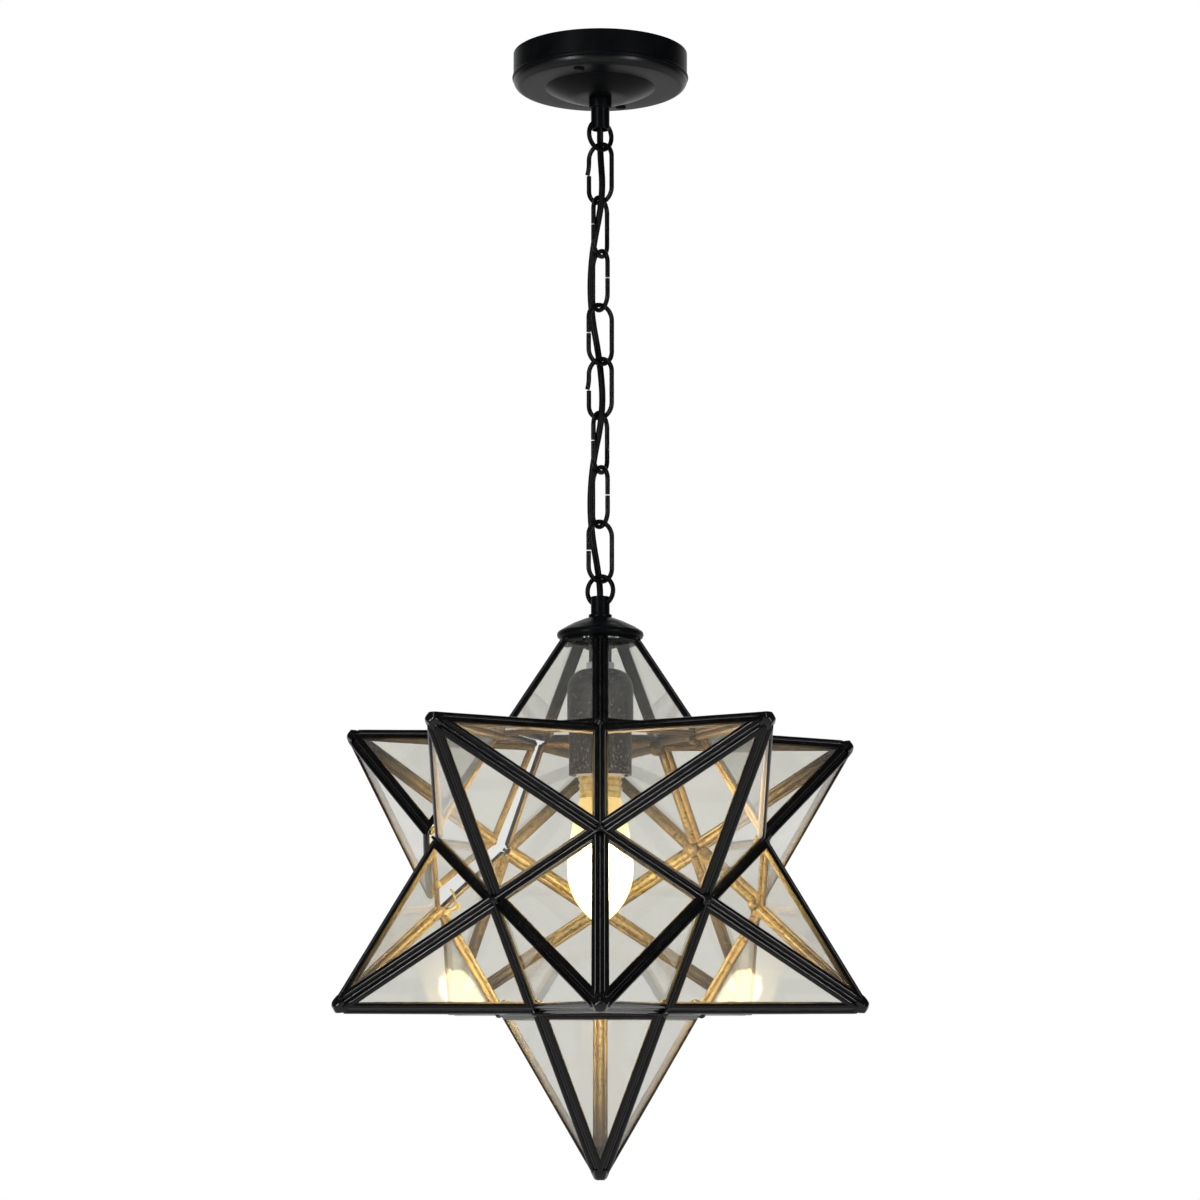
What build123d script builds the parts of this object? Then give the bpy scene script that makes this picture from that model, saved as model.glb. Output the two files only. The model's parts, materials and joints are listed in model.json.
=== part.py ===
from build123d import *
import math
import os

# Star pendant light. Origin on the ceiling plane, on the hanging axis; the front faces -Y; millimetres.
# Azimuths turn from the front towards +X.

# Star
star_width = 300.0          # across the two widest lower tips
crown_flatten = 8.4         # how far the crown point's apex sits below a regular one
tip_blunt = 6.4             # came stops this far short of a point's apex
tip_cap_length = 4.6        # solder past the came
came_depth = 3.6
came_width = 3.9
came_web = 1.0              # floor of the came's channel
glass_thickness = 2.0
glass_clearance = 0.2       # each side of a pane in its channel
seam = 0.2                  # between neighbouring frames

# Door: one upper point, hinged along its top edge
door_azimuth = -108.0
door_gap = 0.8              # extra room round the door's foot
door_ajar = 3.6             # degrees open, as it hangs in the photograph
knuckle_radius = 1.4
knuckle_length = 8.0
knuckle_gap = 0.3
knuckle_clearance = 0.2     # knuckle to came face
leaf_width = 3.0
leaf_thickness = 0.6
hinge_pin_radius = 0.7
pin_clearance = 0.12
pin_head = 0.6
pin_head_radius = 1.1

# Latch: a wire hook that swings on a headed stud and catches under a headed peg on the door
latch_stud_place = 5.5      # from the door's lowest corner, down the valley
latch_peg_place = 6.0       # from the same corner, along the door's ridge
latch_hook_height = 9.0     # hook wire's centre, into the star from the corner
latch_wire = 1.4
latch_pin_radius = 0.9
latch_clearance = 0.3
latch_eye_wall = 1.1
latch_block = 5.0           # length of both blocks
stud_block_width = 5.0
peg_block_width = 3.0
latch_head_radius = 2.2
latch_head_height = 0.8
latch_seat_gap = 0.05       # solder between a block and the came
latch_wrap = 110.0          # degrees of the hook round the peg
latch_released = 30.0       # degrees from latched, as the hook stands

# Chain
link_count = 8
link_wire = 2.6
link_inner_length = 32.3
link_inner_width = 13.8
link_slack = 0.35           # between touching wires
link_opening = 0.8          # butt joint left open
link_yaws = (-36.0, 61.0, -59.0, 35.0, -36.0, 61.0, -59.0, 35.0)
link_joint_sides = (-1, -1, 1, -1, -1, -1, 1, -1)
ceiling_loop_yaw = 40.0
star_loop_yaw = -30.0

# Loops at both ends of the chain
loop_ring_radius = 8.5      # to the wire's centre
loop_ring_offset = 3.3      # barrel end to ring centre
loop_barrel_radius = 5.45
loop_flange_radius = 6.7
loop_cord_hole = 4.3
ceiling_barrel_length = 12.7
ceiling_flange_height = 5.8
star_barrel_length = 10.4
star_flange_height = 2.3
loop_thread_depth = 5.6     # nipple's reach into a loop

# Canopy
canopy_wall_height = 13.0
canopy_bead = 0.7
canopy_depth = 20.0         # ceiling to flat underside
canopy_shoulder = 4.6       # round between wall and flat
canopy_flat_width = 14.1
canopy_dome_width = 16.8    # from the flat to the dome's own foot
canopy_dome_drop = 6.5
canopy_dome_bow = 0.62      # share of the drop at the dome's middle
canopy_sheet = 1.1
canopy_screw_inset = 5.9    # inside the flat's outer edge
canopy_screw_azimuth = -17.5
canopy_screw_radius = 2.0
canopy_screw_head = 3.1
canopy_screw_head_height = 2.0

# Mounting strap
strap_width = 34.0
strap_thickness = 2.0
strap_slot_spacing = 69.85
strap_slot_length = 10.0    # between the centres of a slot's round ends
strap_hole_radius = 2.4
strap_end_margin = 2.675    # past each slot
strap_clearance = 1.8       # strap's corners to the canopy wall
earth_screw_gap = 5.5       # terminal block to the screw's head
earth_screw_head = 3.5
earth_screw_head_height = 2.5
terminal_length = 24.0
terminal_width = 16.0
terminal_height = 7.0

# Nipples and nuts
nipple_radius = 4.0
nipple_bore = 2.7
thread_clearance = 0.15
ceiling_nipple_rise = 14.5  # above the canopy's lowest face
nut_across = 13.0
nut_height = 4.0
washer_radius = 8.0
washer_thickness = 1.0

# Crown
crown_radius = 25.0
crown_height = 12.0
crown_flat_radius = 8.2
crown_rim_height = 5.2
crown_rim_tuck = 1.5        # rim drawn in at its foot
crown_bow = 1.4             # dome above a straight cone
crown_sheet = 1.2
crown_ring_clearance = 0.3
crown_ring_width = 8.0
crown_ring_thickness = 1.6
sleeve_length = 21.0
sleeve_radius = 6.0

# Lamp socket
socket_radius = 18.5
socket_length = 61.2
socket_shoulder = 11.0
socket_sheet = 1.0
socket_body_clearance = 0.6
socket_body_length = 40.0
socket_mouth_recess = 1.2
socket_neck_radius = 7.2
socket_nipple_depth = 10.0
screw_shell_radius = 14.4
screw_shell_sheet = 0.6
screw_shell_depth = 13.6
contact_radius = 4.0
contact_thickness = 1.2
terminal_screw_radius = 3.0
terminal_screw_height = 2.0
terminal_screw_circle = 12.2

# Lamp
cap_radius = 13.1           # crest of the thread
cap_thread_depth = 0.8
cap_thread_pitch = 3.63
cap_turns = 6
cap_sheet = 0.7
cap_seat_gap = 0.3          # base contact to socket contact
insulator_height = 3.4
base_contact_radius = 4.5
base_contact_height = 1.2
bulb_radius = 18.4
bulb_neck_radius = 12.4
bulb_length = 73.0          # neck to tip
bulb_waist = 41.0           # neck to widest place
bulb_fullness = 19.0        # how far the widest place carries on before it draws in to the tip
bulb_wall = 0.9
stem_radius = 3.0
stem_length = 18.0
filament_radius = 0.8
filament_length = 34.0
filament_circle = 5.0
filament_hub = 1.5

# Flex: a point beside each meeting of two links, chosen clear of the wires, and its straight ends
cord_radius = 1.9
cord_beside = (
    (-0.2, 6.3),
    (1.9, -8.1),
    (-5.2, -0.2),
    (-6.0, 1.2),
    (0.1, 6.7),
    (1.9, -8.1),
    (-5.2, -0.2),
    (-6.0, 1.2),
    (-0.3, 5.3),
)
cord_bend_in = 5.2          # inside each barrel, where the flex leaves the axis
cord_arc_share = 0.45       # part of the shorter run that an arc takes

# Strap over its slots, and the canopy over the strap
strap_length = strap_slot_spacing + strap_slot_length + 2 * (strap_hole_radius + strap_end_margin)
canopy_radius = math.hypot(strap_length, strap_width) / 2 + strap_clearance + canopy_sheet
canopy_flat_radius = canopy_radius - canopy_shoulder
canopy_dome_radius = canopy_flat_radius - canopy_flat_width
canopy_dome_flat = canopy_dome_radius - canopy_dome_width
canopy_screw_circle = canopy_flat_radius - canopy_screw_inset
earth_screw_place = terminal_width / 2 + earth_screw_gap + earth_screw_head

# Heights down the hanging axis
canopy_base = -canopy_depth - canopy_dome_drop
ceiling_barrel_end = canopy_base - ceiling_flange_height - ceiling_barrel_length
ceiling_ring_z = ceiling_barrel_end - loop_ring_offset
link_length = link_inner_length + link_wire
link_half = (link_inner_width + link_wire) / 2
link_step = link_wire + link_slack
link_tops = [
    ceiling_ring_z - loop_ring_radius + link_step - n * (link_length - link_step) for n in range(link_count)
]
star_ring_z = link_tops[-1] - link_length + link_step - loop_ring_radius
star_barrel_end = star_ring_z - loop_ring_offset
crown_top = star_barrel_end - star_barrel_length - star_flange_height
crown_seat = crown_top - crown_height
crown_nut_top = crown_top - crown_sheet
sleeve_top = crown_nut_top - nut_height
socket_nut_top = sleeve_top - sleeve_length
socket_top = socket_nut_top - nut_height
socket_mouth = socket_top - socket_length

# Star geometry about its own centre
golden = (1 + math.sqrt(5)) / 2
face_over_edge = golden**2 / (2 * math.sqrt(3 - golden))
tip_over_edge = face_over_edge + math.sqrt(golden**2 - golden / math.sqrt(5))
edge = star_width * math.sqrt(5) / (4 * math.sin(math.radians(72)) * tip_over_edge)
face_radius = edge / (2 * math.sin(math.radians(36)))
belt_radius = golden * face_radius
face_height = face_over_edge * edge
belt_height = face_height / golden**3
tip = tip_over_edge * edge
half_came = came_depth / 2


def polar(radius, azimuth, height):
    turn = math.radians(azimuth)
    return Vector(radius * math.sin(turn), -radius * math.cos(turn), height)


def lean(apex):
    # Slope of a point's ridge and angle of its panes against the point's axis
    slope = face_radius / (apex - face_height)
    return slope, math.atan(slope * math.cos(math.radians(36)))


crown_apex = tip - crown_flatten
crown_slope, crown_lean = lean(crown_apex)
crown_cut = crown_apex + half_came / math.sin(crown_lean) - crown_radius / crown_slope
star_z = crown_seat - crown_cut
star_centre = Pos(0, 0, star_z)

corners = []
for step in range(5):
    corners += [polar(face_radius, 72 * step, face_height), polar(belt_radius, 72 * step, belt_height)]
    corners += [polar(belt_radius, 72 * step + 36, -belt_height)]
    corners += [polar(face_radius, 72 * step + 36, -face_height)]

point_axes = {"crown": Vector(0, 0, 1), "bottom": Vector(0, 0, -1)}
point_axes["door"] = polar(2, door_azimuth, 1).normalized()
for count, azimuth in enumerate((-36, 36, 108, 180), 1):
    point_axes[f"upper_point_{count}"] = polar(2, azimuth, 1).normalized()
for count, azimuth in enumerate((0, 72, 144, -144, -72), 1):
    point_axes[f"lower_point_{count}"] = polar(2, azimuth, -1).normalized()

point_feet = {}
for name, axis in point_axes.items():
    nearest = sorted(range(len(corners)), key=lambda c: -corners[c].dot(axis))[:5]
    face = Plane(origin=(0, 0, 0), z_dir=axis)
    local = {c: face.to_local_coords(corners[c]) for c in nearest}
    point_feet[name] = sorted(nearest, key=lambda c: math.atan2(local[c].Y, local[c].X))


def apex_of(name):
    return point_axes[name] * (crown_apex if name == "crown" else tip)


def outward(first, second, third):
    return (second - first).cross(third - first).normalized()


def pane_normals(name):
    feet = [corners[c] for c in point_feet[name]]
    return [outward(feet[n], feet[(n + 1) % 5], apex_of(name)) for n in range(5)]


edge_panes = {}
for name in point_axes:
    for n, normal in enumerate(pane_normals(name)):
        pair = frozenset((point_feet[name][n], point_feet[name][(n + 1) % 5]))
        edge_panes.setdefault(pair, {})[name] = normal


def fold_inset(normal, other):
    # Two square-edged frames meet along their inner corners when each stops this far from the fold
    return half_came * math.tan(math.radians(normal.get_angle(other)) / 2) + seam / 2


def shrink(outline, insets):
    sides = []
    for start, end, inset in zip(outline, outline[1:] + outline[:1], insets):
        along = (end - start).normalized()
        sides.append((start + Vector(-along.Y, along.X) * inset, along))
    shrunk = []
    for (p, u), (q, v) in zip(sides[-1:] + sides[:-1], sides):
        reach = ((q - p).X * v.Y - (q - p).Y * v.X) / (u.X * v.Y - u.Y * v.X)
        shrunk.append(p + u * reach)
    return shrunk


def slab(outline, thickness):
    return extrude(Polygon(*[(c.X, c.Y) for c in outline]), thickness / 2, both=True)


def point_panes(name):
    # The five came frames of one point and the five panes in their channels
    axis = point_axes[name]
    feet = point_feet[name]
    normals = pane_normals(name)
    end = Plane(origin=axis * (crown_cut if name == "crown" else tip - tip_blunt), z_dir=axis)
    frames, panes = [], []
    for n in range(5):
        left, right = corners[feet[n]], corners[feet[(n + 1) % 5]]
        shared = edge_panes[frozenset((feet[n], feet[(n + 1) % 5]))]
        beyond = next(normal for other, normal in shared.items() if other != name)
        insets = [fold_inset(normals[n], other) for other in (beyond, normals[(n + 1) % 5], normals[n - 1])]
        insets[0] += door_gap if name == "door" else 0
        face = Plane(origin=(left + right) * 0.5, x_dir=right - left, z_dir=normals[n])
        outline = [face.to_local_coords(c) for c in (left, right, apex_of(name))]

        def inner(extra):
            return shrink(outline, [inset + extra for inset in insets])

        frame = slab(inner(0), came_depth) - slab(inner(came_width), came_depth)
        frame -= slab(inner(came_web), glass_thickness + 2 * glass_clearance)
        pane = slab(inner(came_web + glass_clearance), glass_thickness)
        frames.append(split(face * frame, end, keep=Keep.BOTTOM))
        panes.append(split(face * pane, end, keep=Keep.BOTTOM))
    return frames, panes


def tip_cap(name):
    axis = point_axes[name]
    slope, pane_lean = lean(tip)
    apex = tip + half_came / math.sin(pane_lean)
    sections = []
    for place in (tip - tip_blunt, tip - tip_blunt + tip_cap_length):
        radius = slope * (apex - place)
        ridges = [(corners[c] - axis * face_height).normalized() for c in point_feet[name]]
        ring = [axis * place + ridge * radius for ridge in ridges]
        sections.append(make_face(Polyline(*ring, close=True)))
    return loft(sections)


def turned(*outline):
    # A solid of revolution from (radius, height) corners
    return revolve(make_face(Polyline(*[(r, 0, z) for r, z in outline], close=True)), Axis.Z)


def tube(outer, inner, top, bottom):
    return turned((inner, top), (outer, top), (outer, bottom), (inner, bottom))


def rod(radius, top, bottom):
    return Pos(0, 0, bottom) * Cylinder(radius, top - bottom, align=(Align.CENTER, Align.CENTER, Align.MIN))


def nut(top):
    hexagon = RegularPolygon(nut_across / 2, 6, major_radius=False) - Circle(nipple_radius + thread_clearance)
    return Pos(0, 0, top - nut_height) * extrude(hexagon, nut_height)


os.makedirs("parts", exist_ok=True)


def export(name, *shapes):
    solids = [s for shape in shapes for s in shape.solids()]
    export_step(solids[0] if len(solids) == 1 else Compound(children=solids), f"parts/{name}.step")


# Mounting strap along Y, slotted for the ceiling box and tapped for the canopy and earth screws
screw_places = [Pos(*polar(canopy_screw_circle, canopy_screw_azimuth + turn, 0)) for turn in (0, 180)]
earth_place = Pos(0, earth_screw_place, 0)
strap = Pos(0, 0, -strap_thickness / 2) * Box(strap_width, strap_length, strap_thickness)
slot = extrude(Rot(0, 0, 90) * SlotCenterToCenter(strap_slot_length, 2 * strap_hole_radius), strap_thickness)
for side in (-1, 1):
    strap -= Pos(0, side * strap_slot_spacing / 2, -strap_thickness) * slot
for place in screw_places + [earth_place]:
    strap -= place * rod(canopy_screw_radius + thread_clearance, 0, -strap_thickness)
export("mounting_strap", strap)

canopy_screw = rod(canopy_screw_radius, 0, -canopy_depth)
canopy_screw += rod(canopy_screw_head, -canopy_depth, -canopy_depth - canopy_screw_head_height)
export("canopy_screws", *[place * canopy_screw for place in screw_places])

earth_screw = rod(canopy_screw_radius, 0, -strap_thickness)
earth_screw += rod(earth_screw_head, -strap_thickness, -strap_thickness - earth_screw_head_height)
export("earth_screw", earth_place * earth_screw)

terminal_base = -strap_thickness - terminal_height
terminal = Box(terminal_length, terminal_width, terminal_height)
export("terminal_block", Pos(0, 0, terminal_base + terminal_height / 2) * terminal)

# Canopy: wall, bead, rounded shoulder, flat and shallow dome, pressed from one sheet
shoulder_top = -canopy_depth + canopy_shoulder


def canopy_solid(sheet, bead):
    wall = canopy_radius - sheet
    flat = -canopy_depth + sheet
    base = canopy_base + sheet
    bow = (canopy_shoulder - sheet) * math.sin(math.radians(45))
    bead_middle = (wall + bead, 0, (shoulder_top - canopy_wall_height) / 2)
    dome_middle = ((canopy_dome_radius + canopy_dome_flat) / 2, 0, flat - canopy_dome_bow * canopy_dome_drop)
    lines = [
        Line((wall, 0, 0), (wall, 0, -canopy_wall_height)),
        ThreePointArc((canopy_flat_radius, 0, flat), (canopy_flat_radius + bow, 0, shoulder_top - bow),
                      (wall, 0, shoulder_top)),
        Line((canopy_flat_radius, 0, flat), (canopy_dome_radius, 0, flat)),
        ThreePointArc((canopy_dome_radius, 0, flat), dome_middle, (canopy_dome_flat, 0, base)),
        Polyline((canopy_dome_flat, 0, base), (0, 0, base), (0, 0, 0), (wall, 0, 0)),
    ]
    if bead:
        lines.append(ThreePointArc((wall, 0, -canopy_wall_height), bead_middle, (wall, 0, shoulder_top)))
    else:
        lines.append(Line((wall, 0, -canopy_wall_height), (wall, 0, shoulder_top)))
    return revolve(make_face([e for line in lines for e in line.edges()]), Axis.Z)


canopy = canopy_solid(0, canopy_bead) - canopy_solid(canopy_sheet, 0)
canopy -= rod(nipple_radius + thread_clearance, 0, canopy_base)
for place in screw_places:
    canopy -= place * rod(canopy_screw_radius + thread_clearance, 0, -canopy_depth)
export("canopy", canopy)

canopy_floor = canopy_base + canopy_sheet
export("canopy_lock_washer", tube(washer_radius, nipple_radius + thread_clearance,
                                  canopy_floor + washer_thickness, canopy_floor))
export("canopy_nut", nut(canopy_floor + washer_thickness + nut_height))
ceiling_nipple_base = canopy_base - ceiling_flange_height - loop_thread_depth
ceiling_nipple_top = canopy_base + ceiling_nipple_rise
export("ceiling_nipple", tube(nipple_radius, nipple_bore, ceiling_nipple_top, ceiling_nipple_base))


def loop(barrel_end, barrel_length, flange_height, up):
    # Barrel, flange and ring in one casting; up is 1 where the ring stands above the barrel
    flange_top = flange_height
    barrel_top = flange_top + barrel_length
    body = rod(loop_flange_radius, flange_top, 0) + rod(loop_barrel_radius, barrel_top, flange_top)
    body += Pos(0, 0, barrel_top + loop_ring_offset) * Rot(90, 0, 0) * Torus(loop_ring_radius, link_wire / 2)
    thread_top = flange_top + loop_thread_depth
    body -= rod(nipple_radius + thread_clearance, thread_top, 0)
    body -= rod(loop_cord_hole, barrel_top, thread_top)
    standing = Rot(0, 0, 0) if up > 0 else Rot(180, 0, 0)
    return Pos(0, 0, barrel_end - up * barrel_top) * standing * body


ceiling_loop = loop(ceiling_barrel_end, ceiling_barrel_length, ceiling_flange_height, -1)
export("ceiling_loop", Rot(0, 0, ceiling_loop_yaw) * ceiling_loop)

# Chain links: wire bent round from an open butt joint on one leg
for number, (top, yaw, side) in enumerate(zip(link_tops, link_yaws, link_joint_sides), 1):
    middle = top - link_length / 2
    upper = top - link_half
    lower = top - link_length + link_half
    near = side * link_half
    start = (near, 0, middle + link_opening / 2)
    stop = (near, 0, middle - link_opening / 2)
    path = Wire(
        [
            Edge.make_line(start, (near, 0, upper)),
            Edge.make_three_point_arc((near, 0, upper), (0, 0, top), (-near, 0, upper)),
            Edge.make_line((-near, 0, upper), (-near, 0, lower)),
            Edge.make_three_point_arc((-near, 0, lower), (0, 0, top - link_length), (near, 0, lower)),
            Edge.make_line((near, 0, lower), stop),
        ]
    )
    link = sweep(Plane(origin=start, z_dir=(0, 0, 1)) * Circle(link_wire / 2), path)
    export(f"chain_link_{number}", Rot(0, 0, yaw) * link)

# Star hardware
star_loop = loop(star_barrel_end, star_barrel_length, star_flange_height, 1)
export("star_loop", Rot(0, 0, star_loop_yaw) * star_loop)

rim_top = crown_seat + crown_rim_height
rim_round = crown_rim_height / 2
crown_hole = nipple_radius + thread_clearance


def crown_solid(sheet):
    rim = crown_radius - sheet
    top = crown_top - sheet
    dome_foot = (rim - rim_round, 0, rim_top - sheet)
    dome_middle = ((dome_foot[0] + crown_flat_radius) / 2, 0, (top + dome_foot[2]) / 2 + crown_bow)
    lines = [
        Polyline((0, 0, crown_seat), (0, 0, top), (crown_flat_radius, 0, top)),
        ThreePointArc((crown_flat_radius, 0, top), dome_middle, dome_foot),
        ThreePointArc(dome_foot, (rim, 0, rim_top - rim_round), (rim - crown_rim_tuck, 0, crown_seat)),
        Line((rim - crown_rim_tuck, 0, crown_seat), (0, 0, crown_seat)),
    ]
    return revolve(make_face([e for line in lines for e in line.edges()]), Axis.Z)


crown_cap = crown_solid(0) - crown_solid(crown_sheet) - rod(crown_hole, crown_top, crown_seat)
export("crown_cap", crown_cap)
crown_ring_outer = crown_radius - crown_rim_tuck - crown_sheet - crown_ring_clearance
export("crown_ring", tube(crown_ring_outer, crown_ring_outer - crown_ring_width,
                          crown_seat + crown_ring_thickness, crown_seat))
socket_neck_top = socket_top - socket_sheet
nipple_base = socket_neck_top - socket_nipple_depth
nipple_top = crown_top + star_flange_height + loop_thread_depth
export("star_nipple", tube(nipple_radius, nipple_bore, nipple_top, nipple_base))
export("star_nuts", nut(crown_nut_top), nut(socket_nut_top))
export("spacer_sleeve", tube(sleeve_radius, nipple_radius + thread_clearance, sleeve_top, socket_nut_top))


# Lamp socket: domed cover, insulating body, screw shell, contact and terminals
def cover_solid(sheet):
    radius = socket_radius - sheet
    top = socket_top - sheet
    round_radius = socket_shoulder - sheet
    inner = radius - round_radius
    bow = round_radius * math.sin(math.radians(45))
    centre = top - round_radius
    lines = [
        Polyline((inner, 0, top), (0, 0, top), (0, 0, socket_mouth)),
        Polyline((0, 0, socket_mouth), (radius, 0, socket_mouth), (radius, 0, centre)),
        ThreePointArc((radius, 0, centre), (inner + bow, 0, centre + bow), (inner, 0, top)),
    ]
    return revolve(make_face([e for line in lines for e in line.edges()]), Axis.Z)


socket_cover = cover_solid(0) - cover_solid(socket_sheet)
export("socket_cover", socket_cover - rod(crown_hole, socket_top, socket_neck_top))
body_mouth = socket_mouth + socket_mouth_recess
body_top = body_mouth + socket_body_length
body_radius = socket_radius - socket_sheet - socket_body_clearance
shell_hole = screw_shell_radius + thread_clearance
shell_roof = body_mouth + screw_shell_depth
socket_body = turned(
    (nipple_radius + thread_clearance, socket_neck_top),
    (socket_neck_radius, socket_neck_top),
    (socket_neck_radius, body_top),
    (body_radius, body_top),
    (body_radius, body_mouth),
    (shell_hole, body_mouth),
    (shell_hole, shell_roof),
    (0, shell_roof),
    (0, nipple_base),
    (nipple_radius + thread_clearance, nipple_base),
)
export("socket_body", socket_body)
shell_bore = screw_shell_radius - screw_shell_sheet
export("socket_shell", tube(screw_shell_radius, shell_bore, shell_roof, body_mouth))
export("socket_contact", rod(contact_radius, shell_roof, shell_roof - contact_thickness))
terminal_screw = rod(terminal_screw_radius, body_top + terminal_screw_height, body_top)
export("socket_terminal_screws",
       *[Pos(side * terminal_screw_circle, 0, 0) * terminal_screw for side in (-1, 1)])

# Lamp: thin screw cap with a rolled thread, insulator with its contact, glass, stem and filaments
contact_top = shell_roof - contact_thickness - cap_seat_gap
insulator_top = contact_top - base_contact_height
cap_top = insulator_top - insulator_height
cap_base = cap_top - cap_turns * cap_thread_pitch
cap_lines = []
for turn in range(cap_turns):
    crest_top = cap_top - turn * cap_thread_pitch
    crest_base = crest_top - cap_thread_pitch
    root = cap_radius - cap_thread_depth
    cap_lines.append(ThreePointArc((root, 0, crest_top), (cap_radius, 0, (crest_top + crest_base) / 2),
                                   (root, 0, crest_base)))
cap_inner = cap_radius - cap_thread_depth - cap_sheet
cap_lines.append(Polyline((root, 0, cap_base), (cap_inner, 0, cap_base)))
cap_lines.append(Polyline((cap_inner, 0, cap_base), (cap_inner, 0, cap_top), (root, 0, cap_top)))
export("bulb_cap", revolve(make_face([e for line in cap_lines for e in line.edges()]), Axis.Z))
export("bulb_contact", turned((0, contact_top), (base_contact_radius, contact_top),
                              (base_contact_radius, insulator_top), (root, cap_top), (0, cap_top)))

bulb_tip = cap_base - bulb_length
bulb_wide = cap_base - bulb_waist


def bulb_outline(wall):
    widest = (bulb_radius - wall, 0, bulb_wide)
    neck = (bulb_neck_radius - wall, 0, cap_base)
    point = (0, 0, bulb_tip + wall)
    full = (bulb_radius - wall, 0, bulb_wide - bulb_fullness)
    return neck, point, [TangentArc(widest, neck, tangent=(0, 0, 1)), Bezier(widest, full, point)]


outer_neck, outer_point, outer_curves = bulb_outline(0)
inner_neck, inner_point, inner_curves = bulb_outline(bulb_wall)
bulb_lines = outer_curves + inner_curves + [Line(outer_neck, inner_neck), Line(outer_point, inner_point)]
export("bulb_glass", revolve(make_face([e for line in bulb_lines for e in line.edges()]), Axis.Z))
stem_end = cap_base - stem_length
stem = rod(stem_radius, cap_base, stem_end)
stem += rod(filament_circle + filament_hub, stem_end, stem_end - filament_hub)
stem += rod(cap_inner - thread_clearance, cap_base + filament_hub, cap_base)
export("bulb_stem", stem)
filament = rod(filament_radius, stem_end - filament_hub, stem_end - filament_hub - filament_length)
export("bulb_filaments", *[Rot(0, 0, 45 + 90 * n) * Pos(filament_circle, 0, 0) * filament for n in range(4)])

# Hinge line: outside the valley between the crown and the door, clear of both came faces
hinge_pair = next(p for p, shared in edge_panes.items() if {"crown", "door"} == set(shared))
hinge_middle = sum((corners[c] for c in hinge_pair), Vector()) * 0.5
face_room = knuckle_radius + knuckle_clearance
crown_face, door_face = edge_panes[hinge_pair]["crown"], edge_panes[hinge_pair]["door"]
hinge_rise = (half_came + face_room) / (1 + crown_face.dot(door_face))
hinge_point = hinge_middle + (crown_face + door_face) * hinge_rise + Vector(0, 0, star_z)
hinge_direction = polar(1, door_azimuth, 0).cross(Vector(0, 0, 1))
knuckle_pitch = knuckle_length + knuckle_gap


def opened(shape):
    return shape.rotate(Axis(hinge_point, hinge_direction), door_ajar)


def hinge_leaf(face, index):
    # One knuckle on the hinge line with its leaf lying on a came face
    into_pane = face.cross(hinge_direction)
    into_pane = into_pane if into_pane.dot(face - crown_face - door_face) < 0 else -into_pane
    place = Plane(origin=hinge_point + hinge_direction * (index * knuckle_pitch),
                  x_dir=into_pane.cross(face), z_dir=face)
    knuckle = Rot(0, 90, 0) * Cylinder(knuckle_radius, knuckle_length)
    leaf = Pos(0, 0, -face_room) * Box(knuckle_length, leaf_width, leaf_thickness,
                                       align=(Align.CENTER, Align.MIN, Align.MIN))
    bore = Rot(0, 90, 0) * Cylinder(hinge_pin_radius + pin_clearance, knuckle_length)
    return place * (knuckle + leaf - bore)


export("star_hinge_leaves", *[hinge_leaf(crown_face, index) for index in (-2, 0, 2)])
export("door_hinge_leaves", *[opened(hinge_leaf(door_face, index)) for index in (-1, 1)])
pin_reach = 5 * knuckle_length / 2 + 3 * knuckle_gap
hinge_pin = Cylinder(hinge_pin_radius, 2 * pin_reach)
for side in (-1, 1):
    hinge_pin += Pos(0, 0, side * (pin_reach + pin_head / 2)) * Cylinder(pin_head_radius, pin_head)
export("hinge_pin", Plane(origin=hinge_point, z_dir=hinge_direction) * hinge_pin)

# Latch, laid out along the fold that runs through the door's lowest corner; z points into the star
door_corner = polar(belt_radius, door_azimuth, -belt_height)
valley_foot = polar(face_radius, door_azimuth, -face_height)
valley_pair = frozenset(min(range(len(corners)), key=lambda c: (corners[c] - spot).length)
                        for spot in (door_corner, valley_foot))
valley_faces = list(edge_panes[valley_pair].values())
fold = math.radians(valley_faces[0].get_angle(valley_faces[1])) / 2
inward = -(valley_faces[0] + valley_faces[1]).normalized()
latch_place = star_centre * Location(Plane(origin=door_corner, x_dir=valley_foot - door_corner, z_dir=inward))
valley_inset = fold_inset(*valley_faces)
valley_seat = half_came * math.cos(fold) - valley_inset * math.sin(fold) + latch_seat_gap
ridge_seat = half_came / math.cos(fold) + peg_block_width / 2 * math.tan(fold) + latch_seat_gap
hook_low = latch_hook_height - latch_wire / 2
hook_high = latch_hook_height + latch_wire / 2


def headed_block(along, width, seat):
    block_top = hook_low - latch_clearance
    head_base = hook_high + latch_clearance
    block = Box(latch_block, width, block_top - seat, align=(Align.CENTER, Align.CENTER, Align.MIN))
    headed = Pos(0, 0, seat) * block + rod(latch_pin_radius, head_base, block_top)
    headed += rod(latch_head_radius, head_base + latch_head_height, head_base)
    return latch_place * Pos(along, 0, 0) * headed


export("latch_bracket", headed_block(latch_stud_place, stud_block_width, valley_seat))
export("latch_peg", opened(headed_block(-latch_peg_place, peg_block_width, ridge_seat)))

# Hook about its own eye: a straight shank, tangent to the part that wraps the peg
eye_bore = latch_pin_radius + latch_clearance
eye_radius = eye_bore + latch_eye_wall
wrap_radius = eye_bore + latch_wire / 2
hook_reach = latch_stud_place + latch_peg_place
tangent_turn = math.acos(wrap_radius / hook_reach)


def round_peg(turn):
    return Vector(-hook_reach + wrap_radius * math.cos(turn), wrap_radius * math.sin(turn), 0)


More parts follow.
